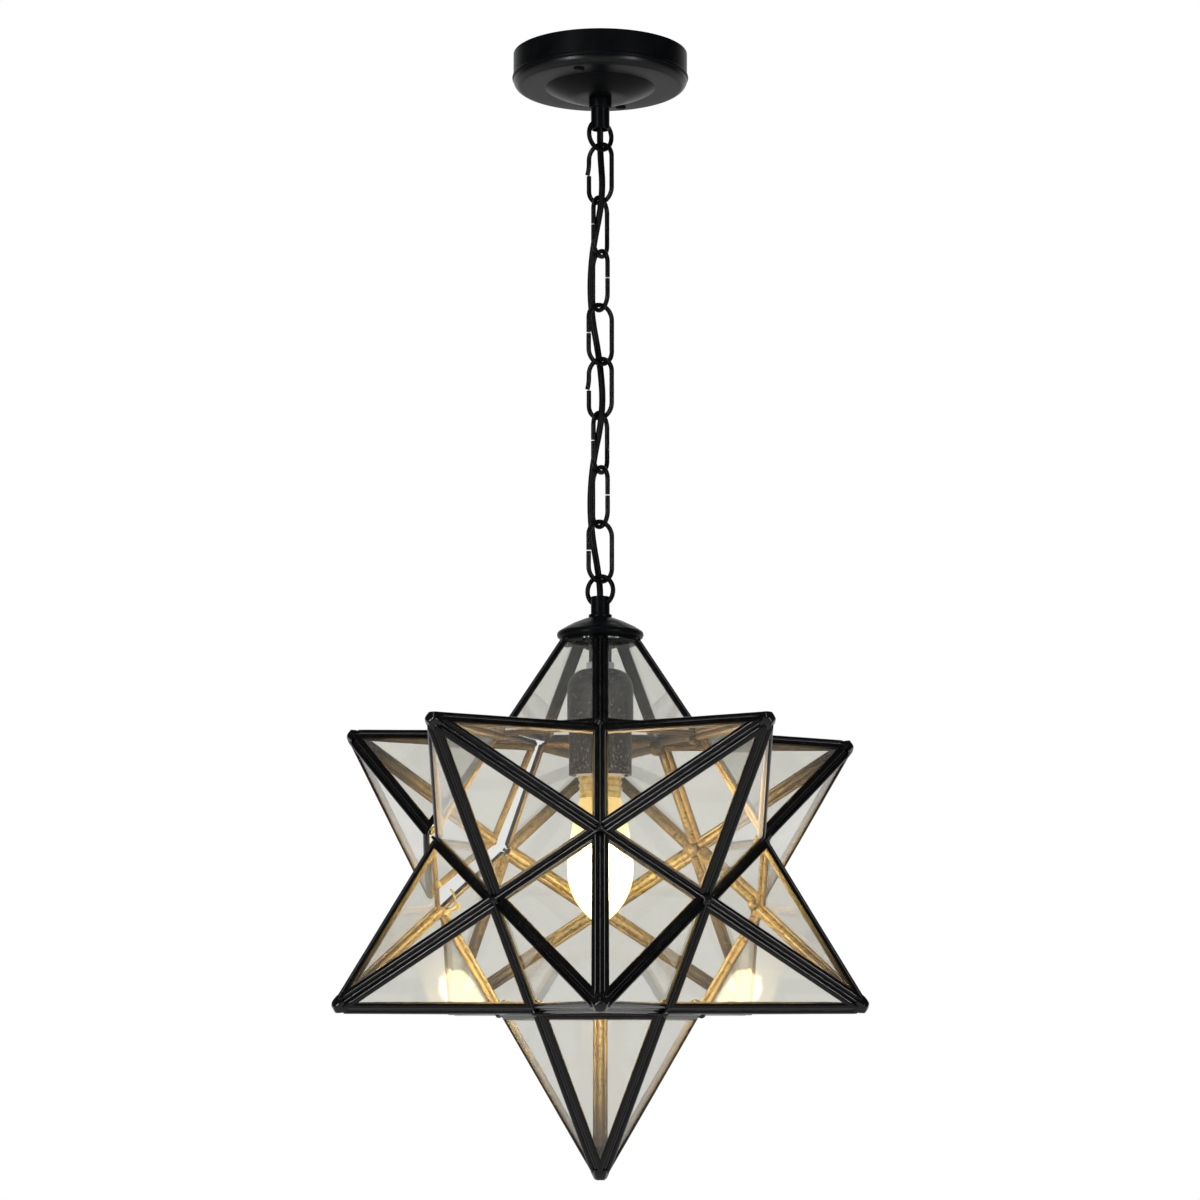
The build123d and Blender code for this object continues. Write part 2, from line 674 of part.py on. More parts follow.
touch = round_peg(tangent_turn)
shank_start = touch.normalized() * (eye_bore + latch_eye_wall / 2)
wrap = math.radians(latch_wrap)
hook_path = Wire(
    [
        Edge.make_line(shank_start, touch),
        Edge.make_three_point_arc(touch, round_peg(tangent_turn + wrap / 2), round_peg(tangent_turn + wrap)),
    ]
)
hook = sweep(Plane(origin=shank_start, z_dir=touch) * Circle(latch_wire / 2), hook_path)
hook += tube(eye_radius, eye_bore, latch_wire / 2, -latch_wire / 2)
hook -= rod(eye_bore, latch_wire / 2, -latch_wire / 2)
hook_place = latch_place * Pos(latch_stud_place, 0, latch_hook_height)
export("latch_hook", hook_place * Rot(0, 0, -latch_released) * hook)

# Points of the star: frames node by node, panes by ring
rings = {"crown_glass": [], "upper_glass": [], "lower_glass": [], "bottom_glass": []}
tip_caps = []
for name in point_axes:
    frames, panes = [[star_centre * piece for piece in pieces] for pieces in point_panes(name)]
    if name == "door":
        export("door_came", *[opened(frame) for frame in frames])
        export("door_glass", *[opened(pane) for pane in panes])
        export("door_tip_solder", opened(star_centre * tip_cap(name)))
        continue
    export(f"{name}_came", *frames)
    rings[f"{name.split('_')[0]}_glass"] += panes
    if name != "crown":
        tip_caps.append(star_centre * tip_cap(name))
for name, panes in rings.items():
    export(name, *panes)
export("tip_solder", *tip_caps)

# Flex: straight in both nipples, with an arc beside each meeting of two links
hung_from = [ceiling_ring_z - loop_ring_radius] + [top - link_length for top in link_tops]
cord_points = [Vector(0, 0, terminal_base), Vector(0, 0, ceiling_barrel_end + cord_bend_in)]
cord_points += [Vector(x, y, z + link_step / 2) for (x, y), z in zip(cord_beside, hung_from)]
cord_points += [Vector(0, 0, star_barrel_end - cord_bend_in), Vector(0, 0, nipple_base)]
cord_radii = []
for before, point, after in zip(cord_points, cord_points[1:], cord_points[2:]):
    shorter = min((point - before).length, (after - point).length)
    half_turn = math.radians((point - before).get_angle(after - point)) / 2
    cord_radii.append(cord_arc_share * shorter / math.tan(half_turn))
cord_path = FilletPolyline(*cord_points, radius=cord_radii)
cord = sweep(Plane(origin=cord_points[0], z_dir=(0, 0, -1)) * Circle(cord_radius), cord_path)
export("power_cord", cord)
print("flex radii", [round(radius, 1) for radius in cord_radii])
print("flex volume", cord.volume, "section times length", math.pi * cord_radius**2 * cord_path.length)
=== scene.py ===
import json
import math

import bmesh
import bpy
from mathutils import Matrix, Vector, noise


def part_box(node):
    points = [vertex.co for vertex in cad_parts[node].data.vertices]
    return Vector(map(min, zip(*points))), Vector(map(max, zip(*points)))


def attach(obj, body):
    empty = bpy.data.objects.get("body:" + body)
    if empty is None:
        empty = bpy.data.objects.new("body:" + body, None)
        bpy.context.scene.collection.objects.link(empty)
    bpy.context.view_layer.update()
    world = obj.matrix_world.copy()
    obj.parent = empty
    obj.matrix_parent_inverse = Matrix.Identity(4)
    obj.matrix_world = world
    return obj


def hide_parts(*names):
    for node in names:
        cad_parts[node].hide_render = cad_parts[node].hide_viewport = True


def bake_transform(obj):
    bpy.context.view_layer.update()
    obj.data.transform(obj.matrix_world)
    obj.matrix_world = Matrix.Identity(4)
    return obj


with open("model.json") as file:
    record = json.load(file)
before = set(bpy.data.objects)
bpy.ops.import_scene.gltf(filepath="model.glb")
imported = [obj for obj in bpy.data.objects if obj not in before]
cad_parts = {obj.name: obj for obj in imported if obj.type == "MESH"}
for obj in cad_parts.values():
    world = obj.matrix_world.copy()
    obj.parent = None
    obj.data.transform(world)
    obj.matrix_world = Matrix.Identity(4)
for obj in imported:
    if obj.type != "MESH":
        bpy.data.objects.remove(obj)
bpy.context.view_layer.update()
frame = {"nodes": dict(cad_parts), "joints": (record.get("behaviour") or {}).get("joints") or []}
nodes = frame["nodes"]
joints = {joint["name"]: joint for joint in frame["joints"]}
scene = bpy.context.scene
mm = 0.001
fullTurn = 2 * math.pi


def addObject(name, data):
    thing = bpy.data.objects.new(name, data)
    scene.collection.objects.link(thing)
    return thing


# Camera: a long lens a little below the star, tilted up so that the canopy shows its underside
viewpoint = {"place": (-0.00016, -1.8367, -0.5739), "tilt": 6.06, "lens": 96.28, "sensor": 36.0, "rise": 0.08}
camera = addObject("camera", bpy.data.cameras.new("camera"))
camera.location = viewpoint["place"]
camera.rotation_euler = (math.radians(90 + viewpoint["tilt"]), 0, 0)
camera.data.lens = viewpoint["lens"]
camera.data.sensor_width = viewpoint["sensor"]
camera.data.shift_y = viewpoint["rise"]
scene.camera = camera
scene.view_settings.view_transform = "Standard"
print("camera set")


def linear(hexText):
    channels = [int(hexText[place:place + 2], 16) / 255 for place in (1, 3, 5)]
    return tuple(c / 12.92 if c <= 0.04045 else ((c + 0.055) / 1.055) ** 2.4 for c in channels) + (1.0,)


def plug(tree, node, links):
    # a node stands for its first output in use; what is neither node nor socket is a plain value
    for name, source in links.items():
        if isinstance(source, bpy.types.Node):
            source = next(output for output in source.outputs if output.enabled)
        if isinstance(source, bpy.types.NodeSocket):
            tree.links.new(source, node.inputs[name])
        else:
            node.inputs[name].default_value = source


def addNode(tree, kind, links=None, **settings):
    node = tree.nodes.new(kind)
    for name, value in settings.items():
        setattr(node, name, value)
    plug(tree, node, links or {})
    return node


def addPiece(name, mesh, body, replaced=None):
    if body == "door":
        mesh.transform(doorTurn)  # drawn shut, hung ajar
    piece = addObject(name, mesh)
    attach(piece, body)
    if replaced:
        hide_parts(replaced)


def plainMesh(name, shape, unit=mm):
    # bmesh in millimetres to a mesh in metres, faces outwards
    bmesh.ops.recalc_face_normals(shape, faces=shape.faces)
    bmesh.ops.scale(shape, vec=(unit, unit, unit), verts=shape.verts)
    mesh = bpy.data.meshes.new(name)
    shape.to_mesh(mesh)
    shape.free()
    return mesh


def finishMesh(name, shape, material, sharp, unit=mm):
    # smooth apart from edges sharper than an angle in degrees
    mesh = plainMesh(name, shape, unit)
    mesh.shade_smooth()
    mesh.set_sharp_from_angle(angle=math.radians(sharp))
    mesh.materials.append(material)
    return mesh


def joined(name, meshes):
    shape = bmesh.new()
    for mesh in meshes:
        shape.from_mesh(mesh)
    made = bpy.data.meshes.new(name)
    shape.to_mesh(made)
    shape.free()
    for material in meshes[0].materials:
        made.materials.append(material)
    return made


def ringPoints(radius, height, steps):
    turns = [fullTurn * step / steps for step in range(steps)]
    return [(radius * math.cos(a), radius * math.sin(a), height) for a in turns]


def skin(shape, rings, closed=False):
    # faces from each ring of points to the next; a ring of one point is a pole
    faces = []
    for lower, upper in zip(rings, rings[1:] + (rings[:1] if closed else [])):
        steps = max(len(lower), len(upper))
        for step in range(steps):
            after = (step + 1) % steps
            corners = [lower[step % len(lower)], lower[after % len(lower)], upper[after % len(upper)],
                       upper[step % len(upper)]]
            unique = list(dict.fromkeys(corners))
            if len(unique) > 2:
                faces.append(shape.faces.new(unique))
    return faces


def lathe(profile, steps, closed=False):
    # (radius, height) pairs turned about Z; a radius of 0 is a pole
    shape = bmesh.new()
    rings = [ringPoints(radius, height, steps if radius > 0 else 1) for radius, height in profile]
    skin(shape, [[shape.verts.new(spot) for spot in ring] for ring in rings], closed)
    return shape


def addTurned(name, profile, form, finish, body, replaced=None, closed=True):
    shape = lathe(profile, form["steps"], closed)
    addPiece(name, finishMesh(name, shape, finish, form["sharp"]), body, replaced)


def cutOff(shape, spot, facing):
    # takes away what lies beyond a plane and closes the cut
    whole = shape.verts[:] + shape.edges[:] + shape.faces[:]
    cut = bmesh.ops.bisect_plane(shape, geom=whole, plane_co=spot, plane_no=facing, clear_outer=True)
    rim = [item for item in cut["geom_cut"] if isinstance(item, bmesh.types.BMEdge)]
    bmesh.ops.holes_fill(shape, edges=rim, sides=0)


def arc(start, middle, end, count):
    # points of the circle through three (radius, height) pairs, without the first
    (ax, ay), (bx, by), (cx, cy) = start, middle, end
    a, b, c = ax**2 + ay**2, bx**2 + by**2, cx**2 + cy**2
    d = 2 * (ax * (by - cy) + bx * (cy - ay) + cx * (ay - by))
    ux = (a * (by - cy) + b * (cy - ay) + c * (ay - by)) / d
    uy = (a * (cx - bx) + b * (ax - cx) + c * (bx - ax)) / d
    radius = math.hypot(ax - ux, ay - uy)
    first, mid, last = [math.atan2(y - uy, x - ux) for x, y in (start, middle, end)]
    sweep = (last - first) % fullTurn
    if (mid - first) % fullTurn > sweep:
        sweep -= fullTurn
    turns = [first + sweep * step / count for step in range(1, count + 1)]
    return [(ux + radius * math.cos(a), uy + radius * math.sin(a)) for a in turns]


easing = {"count": 3, "share": 0.45, "least": 1e-4, "straight": 160.0}


def eased(profile, radius):
    # every corner of a closed profile rounded a little, as paint and pressing leave it
    made = []
    for place, point in enumerate(profile):
        here, before = Vector(point), Vector(profile[place - 1])
        back, on = before - here, Vector(profile[(place + 1) % len(profile)]) - here
        reach = min(radius, back.length * easing["share"], on.length * easing["share"])
        if reach < easing["least"] or back.angle(on) > math.radians(easing["straight"]):
            made.append(point)
            continue
        start, end = here + back.normalized() * reach, here + on.normalized() * reach
        for step in range(easing["count"] + 1):
            t = step / easing["count"]
            made.append(tuple(start * (1 - t) ** 2 + here * 2 * t * (1 - t) + end * t**2))
    return made


def opened(material):
    tree = material.node_tree
    return tree, tree.nodes["Principled BSDF"], addNode(tree, "ShaderNodeTexCoord").outputs["Object"]


def startMaterial(name):
    material = bpy.data.materials.new(name)
    material.use_nodes = True
    return material, *opened(material)


def socketNames(values):
    return {name.replace("_", " "): value for name, value in values.items()}


mottle = {"tonesAt": (0.36, 0.64), "patchDetail": 4.0, "grainDetail": 3.0, "grainFrom": 0.3, "grainTo": 0.7}


def mottledFinish(name, colours, roughness, patch, grain, relief, **sockets):
    # broad patches of two tones, with fine grain in the gloss and the relief; patch, grain and relief in mm
    material, tree, shader, place = startMaterial(name)
    broad = addNode(tree, "ShaderNodeTexNoise", {"Vector": place, "Scale": 1 / (patch * mm),
                                                 "Detail": mottle["patchDetail"]})
    fine = addNode(tree, "ShaderNodeTexNoise", {"Vector": place, "Scale": 1 / (grain * mm),
                                                "Detail": mottle["grainDetail"]})
    tones = addNode(tree, "ShaderNodeValToRGB", {"Fac": broad}, name="tones")
    for element, position, colour in zip(tones.color_ramp.elements, mottle["tonesAt"], colours):
        element.position = position
        element.color = linear(colour)
    gloss = addNode(tree, "ShaderNodeMapRange", {"Value": fine, "From Min": mottle["grainFrom"],
                                                 "From Max": mottle["grainTo"], "To Min": roughness[0],
                                                 "To Max": roughness[1]})
    bump = addNode(tree, "ShaderNodeBump", {"Height": fine, "Strength": 1.0, "Distance": relief * mm})
    plug(tree, shader, {"Base Color": tones, "Roughness": gloss, "Normal": bump, **socketNames(sockets)})
    return material


# Zinc came under black patina: satin black, rubbed a little greyer along the crown of each bead
cameBlack = mottledFinish("zinc_came_black_patina", ("#030303", "#080808"), (0.1, 0.19), patch=9.0, grain=0.9,
                          relief=0.01, Specular_IOR_Level=0.26)
wear = {"patch": 3.5, "from": 0.5, "to": 0.75, "grey": "#151514"}
tree, shader, place = opened(cameBlack)
crest = addNode(tree, "ShaderNodeAttribute", attribute_name="crest").outputs["Fac"]
rub = addNode(tree, "ShaderNodeTexNoise", {"Vector": place, "Scale": 1 / (wear["patch"] * mm), "Detail": 5.0})
rubbed = addNode(tree, "ShaderNodeMapRange", {"Value": rub, "From Min": wear["from"], "From Max": wear["to"]})
worn = addNode(tree, "ShaderNodeMath", {0: crest, 1: rubbed}, operation="MULTIPLY")
tone = addNode(tree, "ShaderNodeMix", {"Factor": worn, 6: tree.nodes["tones"], 7: linear(wear["grey"])},
               data_type="RGBA")
plug(tree, shader, {"Base Color": tone})

# Inside of the came, left bare: brass plating, browned in patches
cameBrass = mottledFinish("brass_plated_came_bare", ("#7a6438", "#a58b50"), (0.4, 0.54), patch=16.0, grain=1.2,
                          relief=0.02, Metallic=0.88, Specular_IOR_Level=0.25)
# Soldered seams under patina: black and lumpy
solderBlack = mottledFinish("tin_solder_black_patina", ("#030303", "#0a0a0a"), (0.12, 0.28), patch=4.0,
                            grain=1.3, relief=0.05, Specular_IOR_Level=0.4)
# Solder left bare inside: dull grey gold with dark flux stains
solderBare = mottledFinish("tin_solder_bare", ("#77623a", "#b0975a"), (0.38, 0.54), patch=2.2, grain=0.9,
                           relief=0.08, Metallic=0.85, Specular_IOR_Level=0.25)
# Pressed steel in satin black enamel: deep black with a fine orange peel
steelBlack = mottledFinish("pressed_steel_black_enamel", ("#050607", "#0a0b0d"), (0.28, 0.38), patch=14.0,
                           grain=0.8, relief=0.008, Specular_IOR_Level=0.05)
# Chain wire dipped in lacquer: black, with a soft shine along its crown
wireBlack = mottledFinish("steel_wire_black_lacquer", ("#040405", "#0a0a0b"), (0.24, 0.38), patch=5.0,
                          grain=0.7, relief=0.015, Specular_IOR_Level=0.13)
# Flex: black PVC, drawn smooth and a little dusty
flexBlack = mottledFinish("pvc_flex_black_drawn", ("#050505", "#0c0c0d"), (0.4, 0.55), patch=6.0, grain=0.5,
                          relief=0.015, Specular_IOR_Level=0.1)
# Turned and bent brass: warm, with tarnish in patches
brassTurned = mottledFinish("brass_turned", ("#cfaa4c", "#f7e29a"), (0.24, 0.4), patch=6.0, grain=0.6,
                            relief=0.015, Metallic=0.45)
# Zinc plate on steel: pale bluish grey with faint spangle
zincPlate = mottledFinish("steel_zinc_plated", ("#8d9297", "#b9bec2"), (0.25, 0.42), patch=5.0, grain=0.9,
                          relief=0.02, Metallic=1.0)
# Glazed ceramic of the lamp socket: warm white and glossy
ceramicWhite = mottledFinish("ceramic_glazed_white", ("#d9d5cb", "#ece9e1"), (0.12, 0.22), patch=8.0, grain=1.5,
                             relief=0.01)
# Moulded nylon of the terminal block: milky white, dull
nylonWhite = mottledFinish("nylon_moulded_white", ("#d8d8d2", "#eeeeea"), (0.4, 0.55), patch=6.0, grain=0.5,
                           relief=0.02)
# Glass insulator round the lamp's base contact: black and glossy
glassBlack = mottledFinish("vitreous_insulator_black", ("#0c0c10", "#1d1d22"), (0.1, 0.22), patch=3.0,
                           grain=0.8, relief=0.01)
# Glass stem that carries the filaments: clear and faintly warm
stemGlass = mottledFinish("soda_glass_stem", ("#e8dfca", "#fff6e2"), (0.05, 0.12), patch=4.0, grain=1.0,
                          relief=0.01, Transmission_Weight=0.8)

# Socket cover: dark grey moulding, browner and specked pale towards its foot
socketGrey = mottledFinish("phenolic_moulded_dark_grey", ("#08090a", "#101113"), (0.42, 0.55), patch=6.0,
                           grain=0.8, relief=0.03, Specular_IOR_Level=0.2)
footTone = {"speck": 1.6, "speckReach": 22.0, "speckShare": (0.1, 0.02), "speckEdge": (0.66, 0.72),
          "pale": "#7d7465", "brownReach": (18.0, 30.0), "brown": "#241f1a"}
tree, shader, place = opened(socketGrey)
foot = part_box("socket_cover")[0].z
height = addNode(tree, "ShaderNodeSeparateXYZ", {"Vector": place}).outputs["Z"]
low = addNode(tree, "ShaderNodeMapRange", {"Value": height, "From Min": foot,
                                           "From Max": foot + footTone["speckReach"] * mm,
                                           "To Min": footTone["speckShare"][0],
                                           "To Max": footTone["speckShare"][1]})
specks = addNode(tree, "ShaderNodeTexNoise", {"Vector": place, "Scale": 1 / (footTone["speck"] * mm),
                                              "Detail": 2.0})
raised = addNode(tree, "ShaderNodeMath", {0: specks, 1: low}, operation="ADD")
spotted = addNode(tree, "ShaderNodeMapRange", {"Value": raised, "From Min": footTone["speckEdge"][0],
                                               "From Max": footTone["speckEdge"][1]})
warm = addNode(tree, "ShaderNodeMapRange", {"Value": height, "From Min": foot + footTone["brownReach"][0] * mm,
                                            "From Max": foot + footTone["brownReach"][1] * mm, "To Min": 1.0,
                                            "To Max": 0.0})
towardBrown = addNode(tree, "ShaderNodeMix", {"Factor": warm, 6: tree.nodes["tones"], 7: linear(footTone["brown"])},
                  data_type="RGBA")
tone = addNode(tree, "ShaderNodeMix", {"Factor": spotted, 6: towardBrown, 7: linear(footTone["pale"])},
               data_type="RGBA")
plug(tree, shader, {"Base Color": tone})

# Thin clear sheet glass: a little grey, faintly wavy, finger marks in its gloss; light passes to what is inside
pane = {"wave": 28.0, "waveDepth": 0.05, "mark": 12.0, "smear": 0.05, "smearFrom": (0.5, 0.8),
        "clear": (0.996, 0.988), "dustFrom": (0.35, 0.75), "tint": "#e4e4e0", "shadow": "#ecebe6", "ior": 1.5}
paneGlass, tree, shader, place = startMaterial("sheet_glass_clear_drawn")
waves = addNode(tree, "ShaderNodeTexNoise", {"Vector": place, "Scale": 1 / (pane["wave"] * mm), "Detail": 1.0})
marks = addNode(tree, "ShaderNodeTexNoise", {"Vector": place, "Scale": 1 / (pane["mark"] * mm), "Detail": 6.0})
smear = addNode(tree, "ShaderNodeMapRange", {"Value": marks, "From Min": pane["smearFrom"][0],
                                             "From Max": pane["smearFrom"][1], "To Min": 0.0,
                                             "To Max": pane["smear"]})
dust = addNode(tree, "ShaderNodeMapRange", {"Value": marks, "From Min": pane["dustFrom"][0],
                                            "From Max": pane["dustFrom"][1], "To Min": pane["clear"][0],
                                            "To Max": pane["clear"][1]})
bump = addNode(tree, "ShaderNodeBump", {"Height": waves, "Strength": 1.0, "Distance": pane["waveDepth"] * mm})
plug(tree, shader, {"Roughness": smear, "Normal": bump, "Transmission Weight": dust, "IOR": pane["ior"],
                    "Base Color": linear(pane["tint"])})
rays = addNode(tree, "ShaderNodeLightPath").outputs
passing = addNode(tree, "ShaderNodeBsdfTransparent", {"Color": linear(pane["shadow"])})
mixed = addNode(tree, "ShaderNodeMixShader", {0: rays["Is Shadow Ray"], 1: shader, 2: passing})
plug(tree, tree.nodes["Material Output"], {"Surface": mixed})


def litFinish(name, colours, fade=None, beads=None, **sockets):
    # two colours of light: one fades to the other between two depths below the cap, or they lie in beads
    material, tree, shader, place = startMaterial(name)
    if fade:
        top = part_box("bulb_glass")[1].z
        height = addNode(tree, "ShaderNodeSeparateXYZ", {"Vector": place}).outputs["Z"]
        share = addNode(tree, "ShaderNodeMapRange", {"Value": height, "From Min": top - fade[0] * mm,
                                                     "From Max": top - fade[1] * mm})
    else:
        share = addNode(tree, "ShaderNodeTexNoise", {"Vector": place, "Scale": 1 / (beads * mm)})
    shades = addNode(tree, "ShaderNodeValToRGB", {"Fac": share})
    for element, colour in zip(shades.color_ramp.elements, colours):
        element.color = linear(colour)
    plug(tree, shader, {"Emission Color": shades, **socketNames(sockets)})
    return material


# Blown glass of the lamp: warm and clear, lit from inside, amber towards its cap
lampGlass = litFinish("lamp_glass_warm_blown", ("#ffe9a8", "#8f7427"), fade=(27.0, 12.0),
                      Base_Color=linear("#2e2009"), Roughness=0.06, Emission_Strength=5.0)
veil = {"cloud": 15.0, "thin": 0.2, "thick": 0.3}
tree, shader, place = opened(lampGlass)
cloud = addNode(tree, "ShaderNodeTexNoise", {"Vector": place, "Scale": 1 / (veil["cloud"] * mm), "Detail": 2.0})
veiled = addNode(tree, "ShaderNodeMapRange", {"Value": cloud, "To Min": veil["thin"], "To Max": veil["thick"]})
plug(tree, shader, {"Alpha": veiled})
# Inner envelope: white hot, a little yellower above
lampGlow = litFinish("lamp_inner_envelope_lit", ("#fff3d8", "#ffdf9e"), fade=(40.0, 20.0),
                     Base_Color=linear("#fff6e0"), Emission_Strength=420.0)
# Filaments: beads of yellow and pale light
filamentGlow = litFinish("filament_lit", ("#ffd27a", "#fff0c8"), beads=1.0, Emission_Strength=30.0)
print("materials ready")


def startTree(name, sockets):
    tree = bpy.data.node_groups.new(name, "GeometryNodeTree")
    tree.interface.new_socket("Geometry", in_out="INPUT", socket_type="NodeSocketGeometry")
    for label, kind in sockets.items():
        tree.interface.new_socket(label, in_out="INPUT", socket_type=f"NodeSocket{kind}")
    tree.interface.new_socket("Geometry", in_out="OUTPUT", socket_type="NodeSocketGeometry")
    return tree, addNode(tree, "NodeGroupInput").outputs


def runTree(tree, name, mesh, **values):
    # runs a tree on a mesh and gives back the plain mesh it makes
    carrier = addObject(name, mesh)
    modifier = carrier.modifiers.new(tree.name, "NODES")
    modifier.node_group = tree
    for item in tree.interface.items_tree:
        if item.in_out == "INPUT" and item.name in values:
            modifier[item.identifier] = values[item.name]
    graph = bpy.context.evaluated_depsgraph_get()
    made = bpy.data.meshes.new_from_object(carrier.evaluated_get(graph), preserve_all_data_layers=True,
                                           depsgraph=graph)
    bpy.data.objects.remove(carrier)
    made.name = name
    return made


def swinging(tree, given, links=None, **settings):
    # noise from -1 to 1 in lumps of the given size
    lumps = addNode(tree, "ShaderNodeMath", {0: 1.0, 1: given["Lump"]}, operation="DIVIDE")
    wave = addNode(tree, "ShaderNodeTexNoise", {"Scale": lumps, "Detail": 2.0, **(links or {})}, **settings)
    return addNode(tree, "ShaderNodeMapRange", {"Value": wave, "From Min": 0.25, "From Max": 0.75,
                                                "To Min": -1.0, "To Max": 1.0})


def handWorked(tree, given, shape, swing):
    # pushed in and out along its normals by the given depth
    depth = addNode(tree, "ShaderNodeMath", {0: swing, 1: given["Wander"]}, operation="MULTIPLY")
    normal = addNode(tree, "GeometryNodeInputNormal")
    shift = addNode(tree, "ShaderNodeVectorMath", {0: normal, "Scale": depth}, operation="SCALE")
    return addNode(tree, "GeometryNodeSetPosition", {"Geometry": shape, "Offset": shift})


# Wire or bead of solder along a path, its thickness wandering by a share of its radius
beadTree, given = startTree("beadAlongPath", {"Radius": "Float", "Spacing": "Float", "Sides": "Int",
                                              "Wander": "Float", "Lump": "Float", "Finish": "Material"})
path = addNode(beadTree, "GeometryNodeMeshToCurve", {"Mesh": given["Geometry"]})
even = addNode(beadTree, "GeometryNodeResampleCurve", {"Curve": path, "Length": given["Spacing"]},
               mode="LENGTH")
thick = addNode(beadTree, "ShaderNodeMath", {0: swinging(beadTree, given), 1: given["Wander"], 2: 1.0},
                operation="MULTIPLY_ADD")
section = addNode(beadTree, "GeometryNodeCurvePrimitiveCircle", {"Resolution": given["Sides"],
                                                                 "Radius": given["Radius"]})
swept = addNode(beadTree, "GeometryNodeCurveToMesh", {"Curve": even, "Profile Curve": section, "Scale": thick,
                                                      "Fill Caps": True})
smooth = addNode(beadTree, "GeometryNodeSetShadeSmooth", {"Geometry": swept})
real = addNode(beadTree, "GeometryNodeRealizeInstances", {"Geometry": smooth})
faced = addNode(beadTree, "GeometryNodeSetMaterial", {"Geometry": real, "Material": given["Finish"]})
addNode(beadTree, "NodeGroupOutput", {"Geometry": faced})

# Equal copies turned about Z, worked a little by hand; faces marked inner take the second finish
copyTree, given = startTree("copiesAroundAxis", {"Copies": "Int", "Wander": "Float", "Lump": "Float",
                                                 "Seed": "Float", "Finish": "Material",
                                                 "Inner Finish": "Material"})
spots = addNode(copyTree, "GeometryNodePoints", {"Count": given["Copies"]})
index = addNode(copyTree, "GeometryNodeInputIndex")
share = addNode(copyTree, "ShaderNodeMath", {0: fullTurn, 1: given["Copies"]}, operation="DIVIDE")
turn = addNode(copyTree, "ShaderNodeMath", {0: index, 1: share}, operation="MULTIPLY")
facing = addNode(copyTree, "ShaderNodeCombineXYZ", {"Z": turn})
copies = addNode(copyTree, "GeometryNodeInstanceOnPoints", {"Points": spots, "Instance": given["Geometry"],
                                                            "Rotation": facing})
real = addNode(copyTree, "GeometryNodeRealizeInstances", {"Geometry": copies})
swing = swinging(copyTree, given, {"W": given["Seed"]}, noise_dimensions="4D")
worked = handWorked(copyTree, given, real, swing)
outside = addNode(copyTree, "GeometryNodeSetMaterial", {"Geometry": worked, "Material": given["Finish"]})
marked = addNode(copyTree, "GeometryNodeInputNamedAttribute", {"Name": "inner"}, data_type="BOOLEAN")
inside = addNode(copyTree, "GeometryNodeSetMaterial", {"Geometry": outside, "Selection": marked,
                                                       "Material": given["Inner Finish"]})
addNode(copyTree, "NodeGroupOutput", {"Geometry": inside})

# Solder lumps of differing size on the points of a mesh
lumpTree, given = startTree("lumpsOnPoints", {"Radius": "Float", "Wander": "Float", "Lump": "Float",
                                              "Seed": "Int", "Smallest": "Float", "Largest": "Float",
                                              "Finish": "Material"})
dots = addNode(lumpTree, "GeometryNodeMeshToPoints", {"Mesh": given["Geometry"]})
ball = addNode(lumpTree, "GeometryNodeMeshIcoSphere", {"Radius": given["Radius"], "Subdivisions": 4})
sizes = addNode(lumpTree, "FunctionNodeRandomValue", {"Seed": given["Seed"], 2: given["Smallest"],
                                                      3: given["Largest"]}, data_type="FLOAT")
placed = addNode(lumpTree, "GeometryNodeInstanceOnPoints", {"Points": dots, "Instance": ball, "Scale": sizes})
real = addNode(lumpTree, "GeometryNodeRealizeInstances", {"Geometry": placed})
worked = handWorked(lumpTree, given, real, swinging(lumpTree, given))
smooth = addNode(lumpTree, "GeometryNodeSetShadeSmooth", {"Geometry": worked})
faced = addNode(lumpTree, "GeometryNodeSetMaterial", {"Geometry": smooth, "Material": given["Finish"]})
addNode(lumpTree, "NodeGroupOutput", {"Geometry": faced})
print("trees ready")


def pathMesh(name, lines, closed=False):
    # lines of points in millimetres as loose edges in metres
    mesh = bpy.data.meshes.new(name)
    verts, edges = [], []
    for line in lines:
        first = len(verts)
        verts += [Vector(point) * mm for point in line]
        edges += [(first + n, first + n + 1) for n in range(len(line) - 1)]
        if closed:
            edges.append((len(verts) - 1, first))
    mesh.from_pydata(verts, edges, [])
    return mesh


def bead(name, lines, radius, finish, work, closed=False):
    # wire or solder along lines of points, in mm; work says how fine and how uneven it is
    return runTree(beadTree, name, pathMesh(name, lines, closed), Radius=radius * mm, Sides=work["sides"],
                   Spacing=work["spacing"] * mm, Wander=work["wander"], Lump=work["lump"] * mm, Finish=finish)


# Flex: woven beside the links from the terminal block to the lamp socket
flex = {"diameter": 3.8, "sides": 14, "sharp": 50.0, "blendReach": 7.0,
        "route": ((0, 0, -9.0), (0, 0, -39.8), (-0.2, 6.3, -55.325), (1.9, -8.1, -87.275),
                  (-5.2, -0.2, -119.225), (-6.0, 1.2, -151.175), (0.1, 6.7, -183.125), (1.9, -8.1, -215.075),
                  (-5.2, -0.2, -247.025), (-6.0, 1.2, -278.975), (-0.3, 5.3, -310.925), (0, 0, -326.45),
                  (0, 0, -375.15))}
routeCurve = bpy.data.curves.new("flexRoute", "CURVE")
routeCurve.dimensions = "3D"
routeCurve.resolution_u = 16
spline = routeCurve.splines.new("NURBS")
spline.points.add(len(flex["route"]) - 1)
for point, spot in zip(spline.points, flex["route"]):
    point.co = (*(Vector(spot) * mm), 1.0)
spline.order_u = 3
spline.use_endpoint_u = True
routeObject = addObject("flexRoute", routeCurve)
graph = bpy.context.evaluated_depsgraph_get()
routeMesh = bpy.data.meshes.new_from_object(routeObject.evaluated_get(graph))
centreLine = [vert.co.copy() for vert in routeMesh.vertices]
bpy.data.objects.remove(routeObject)

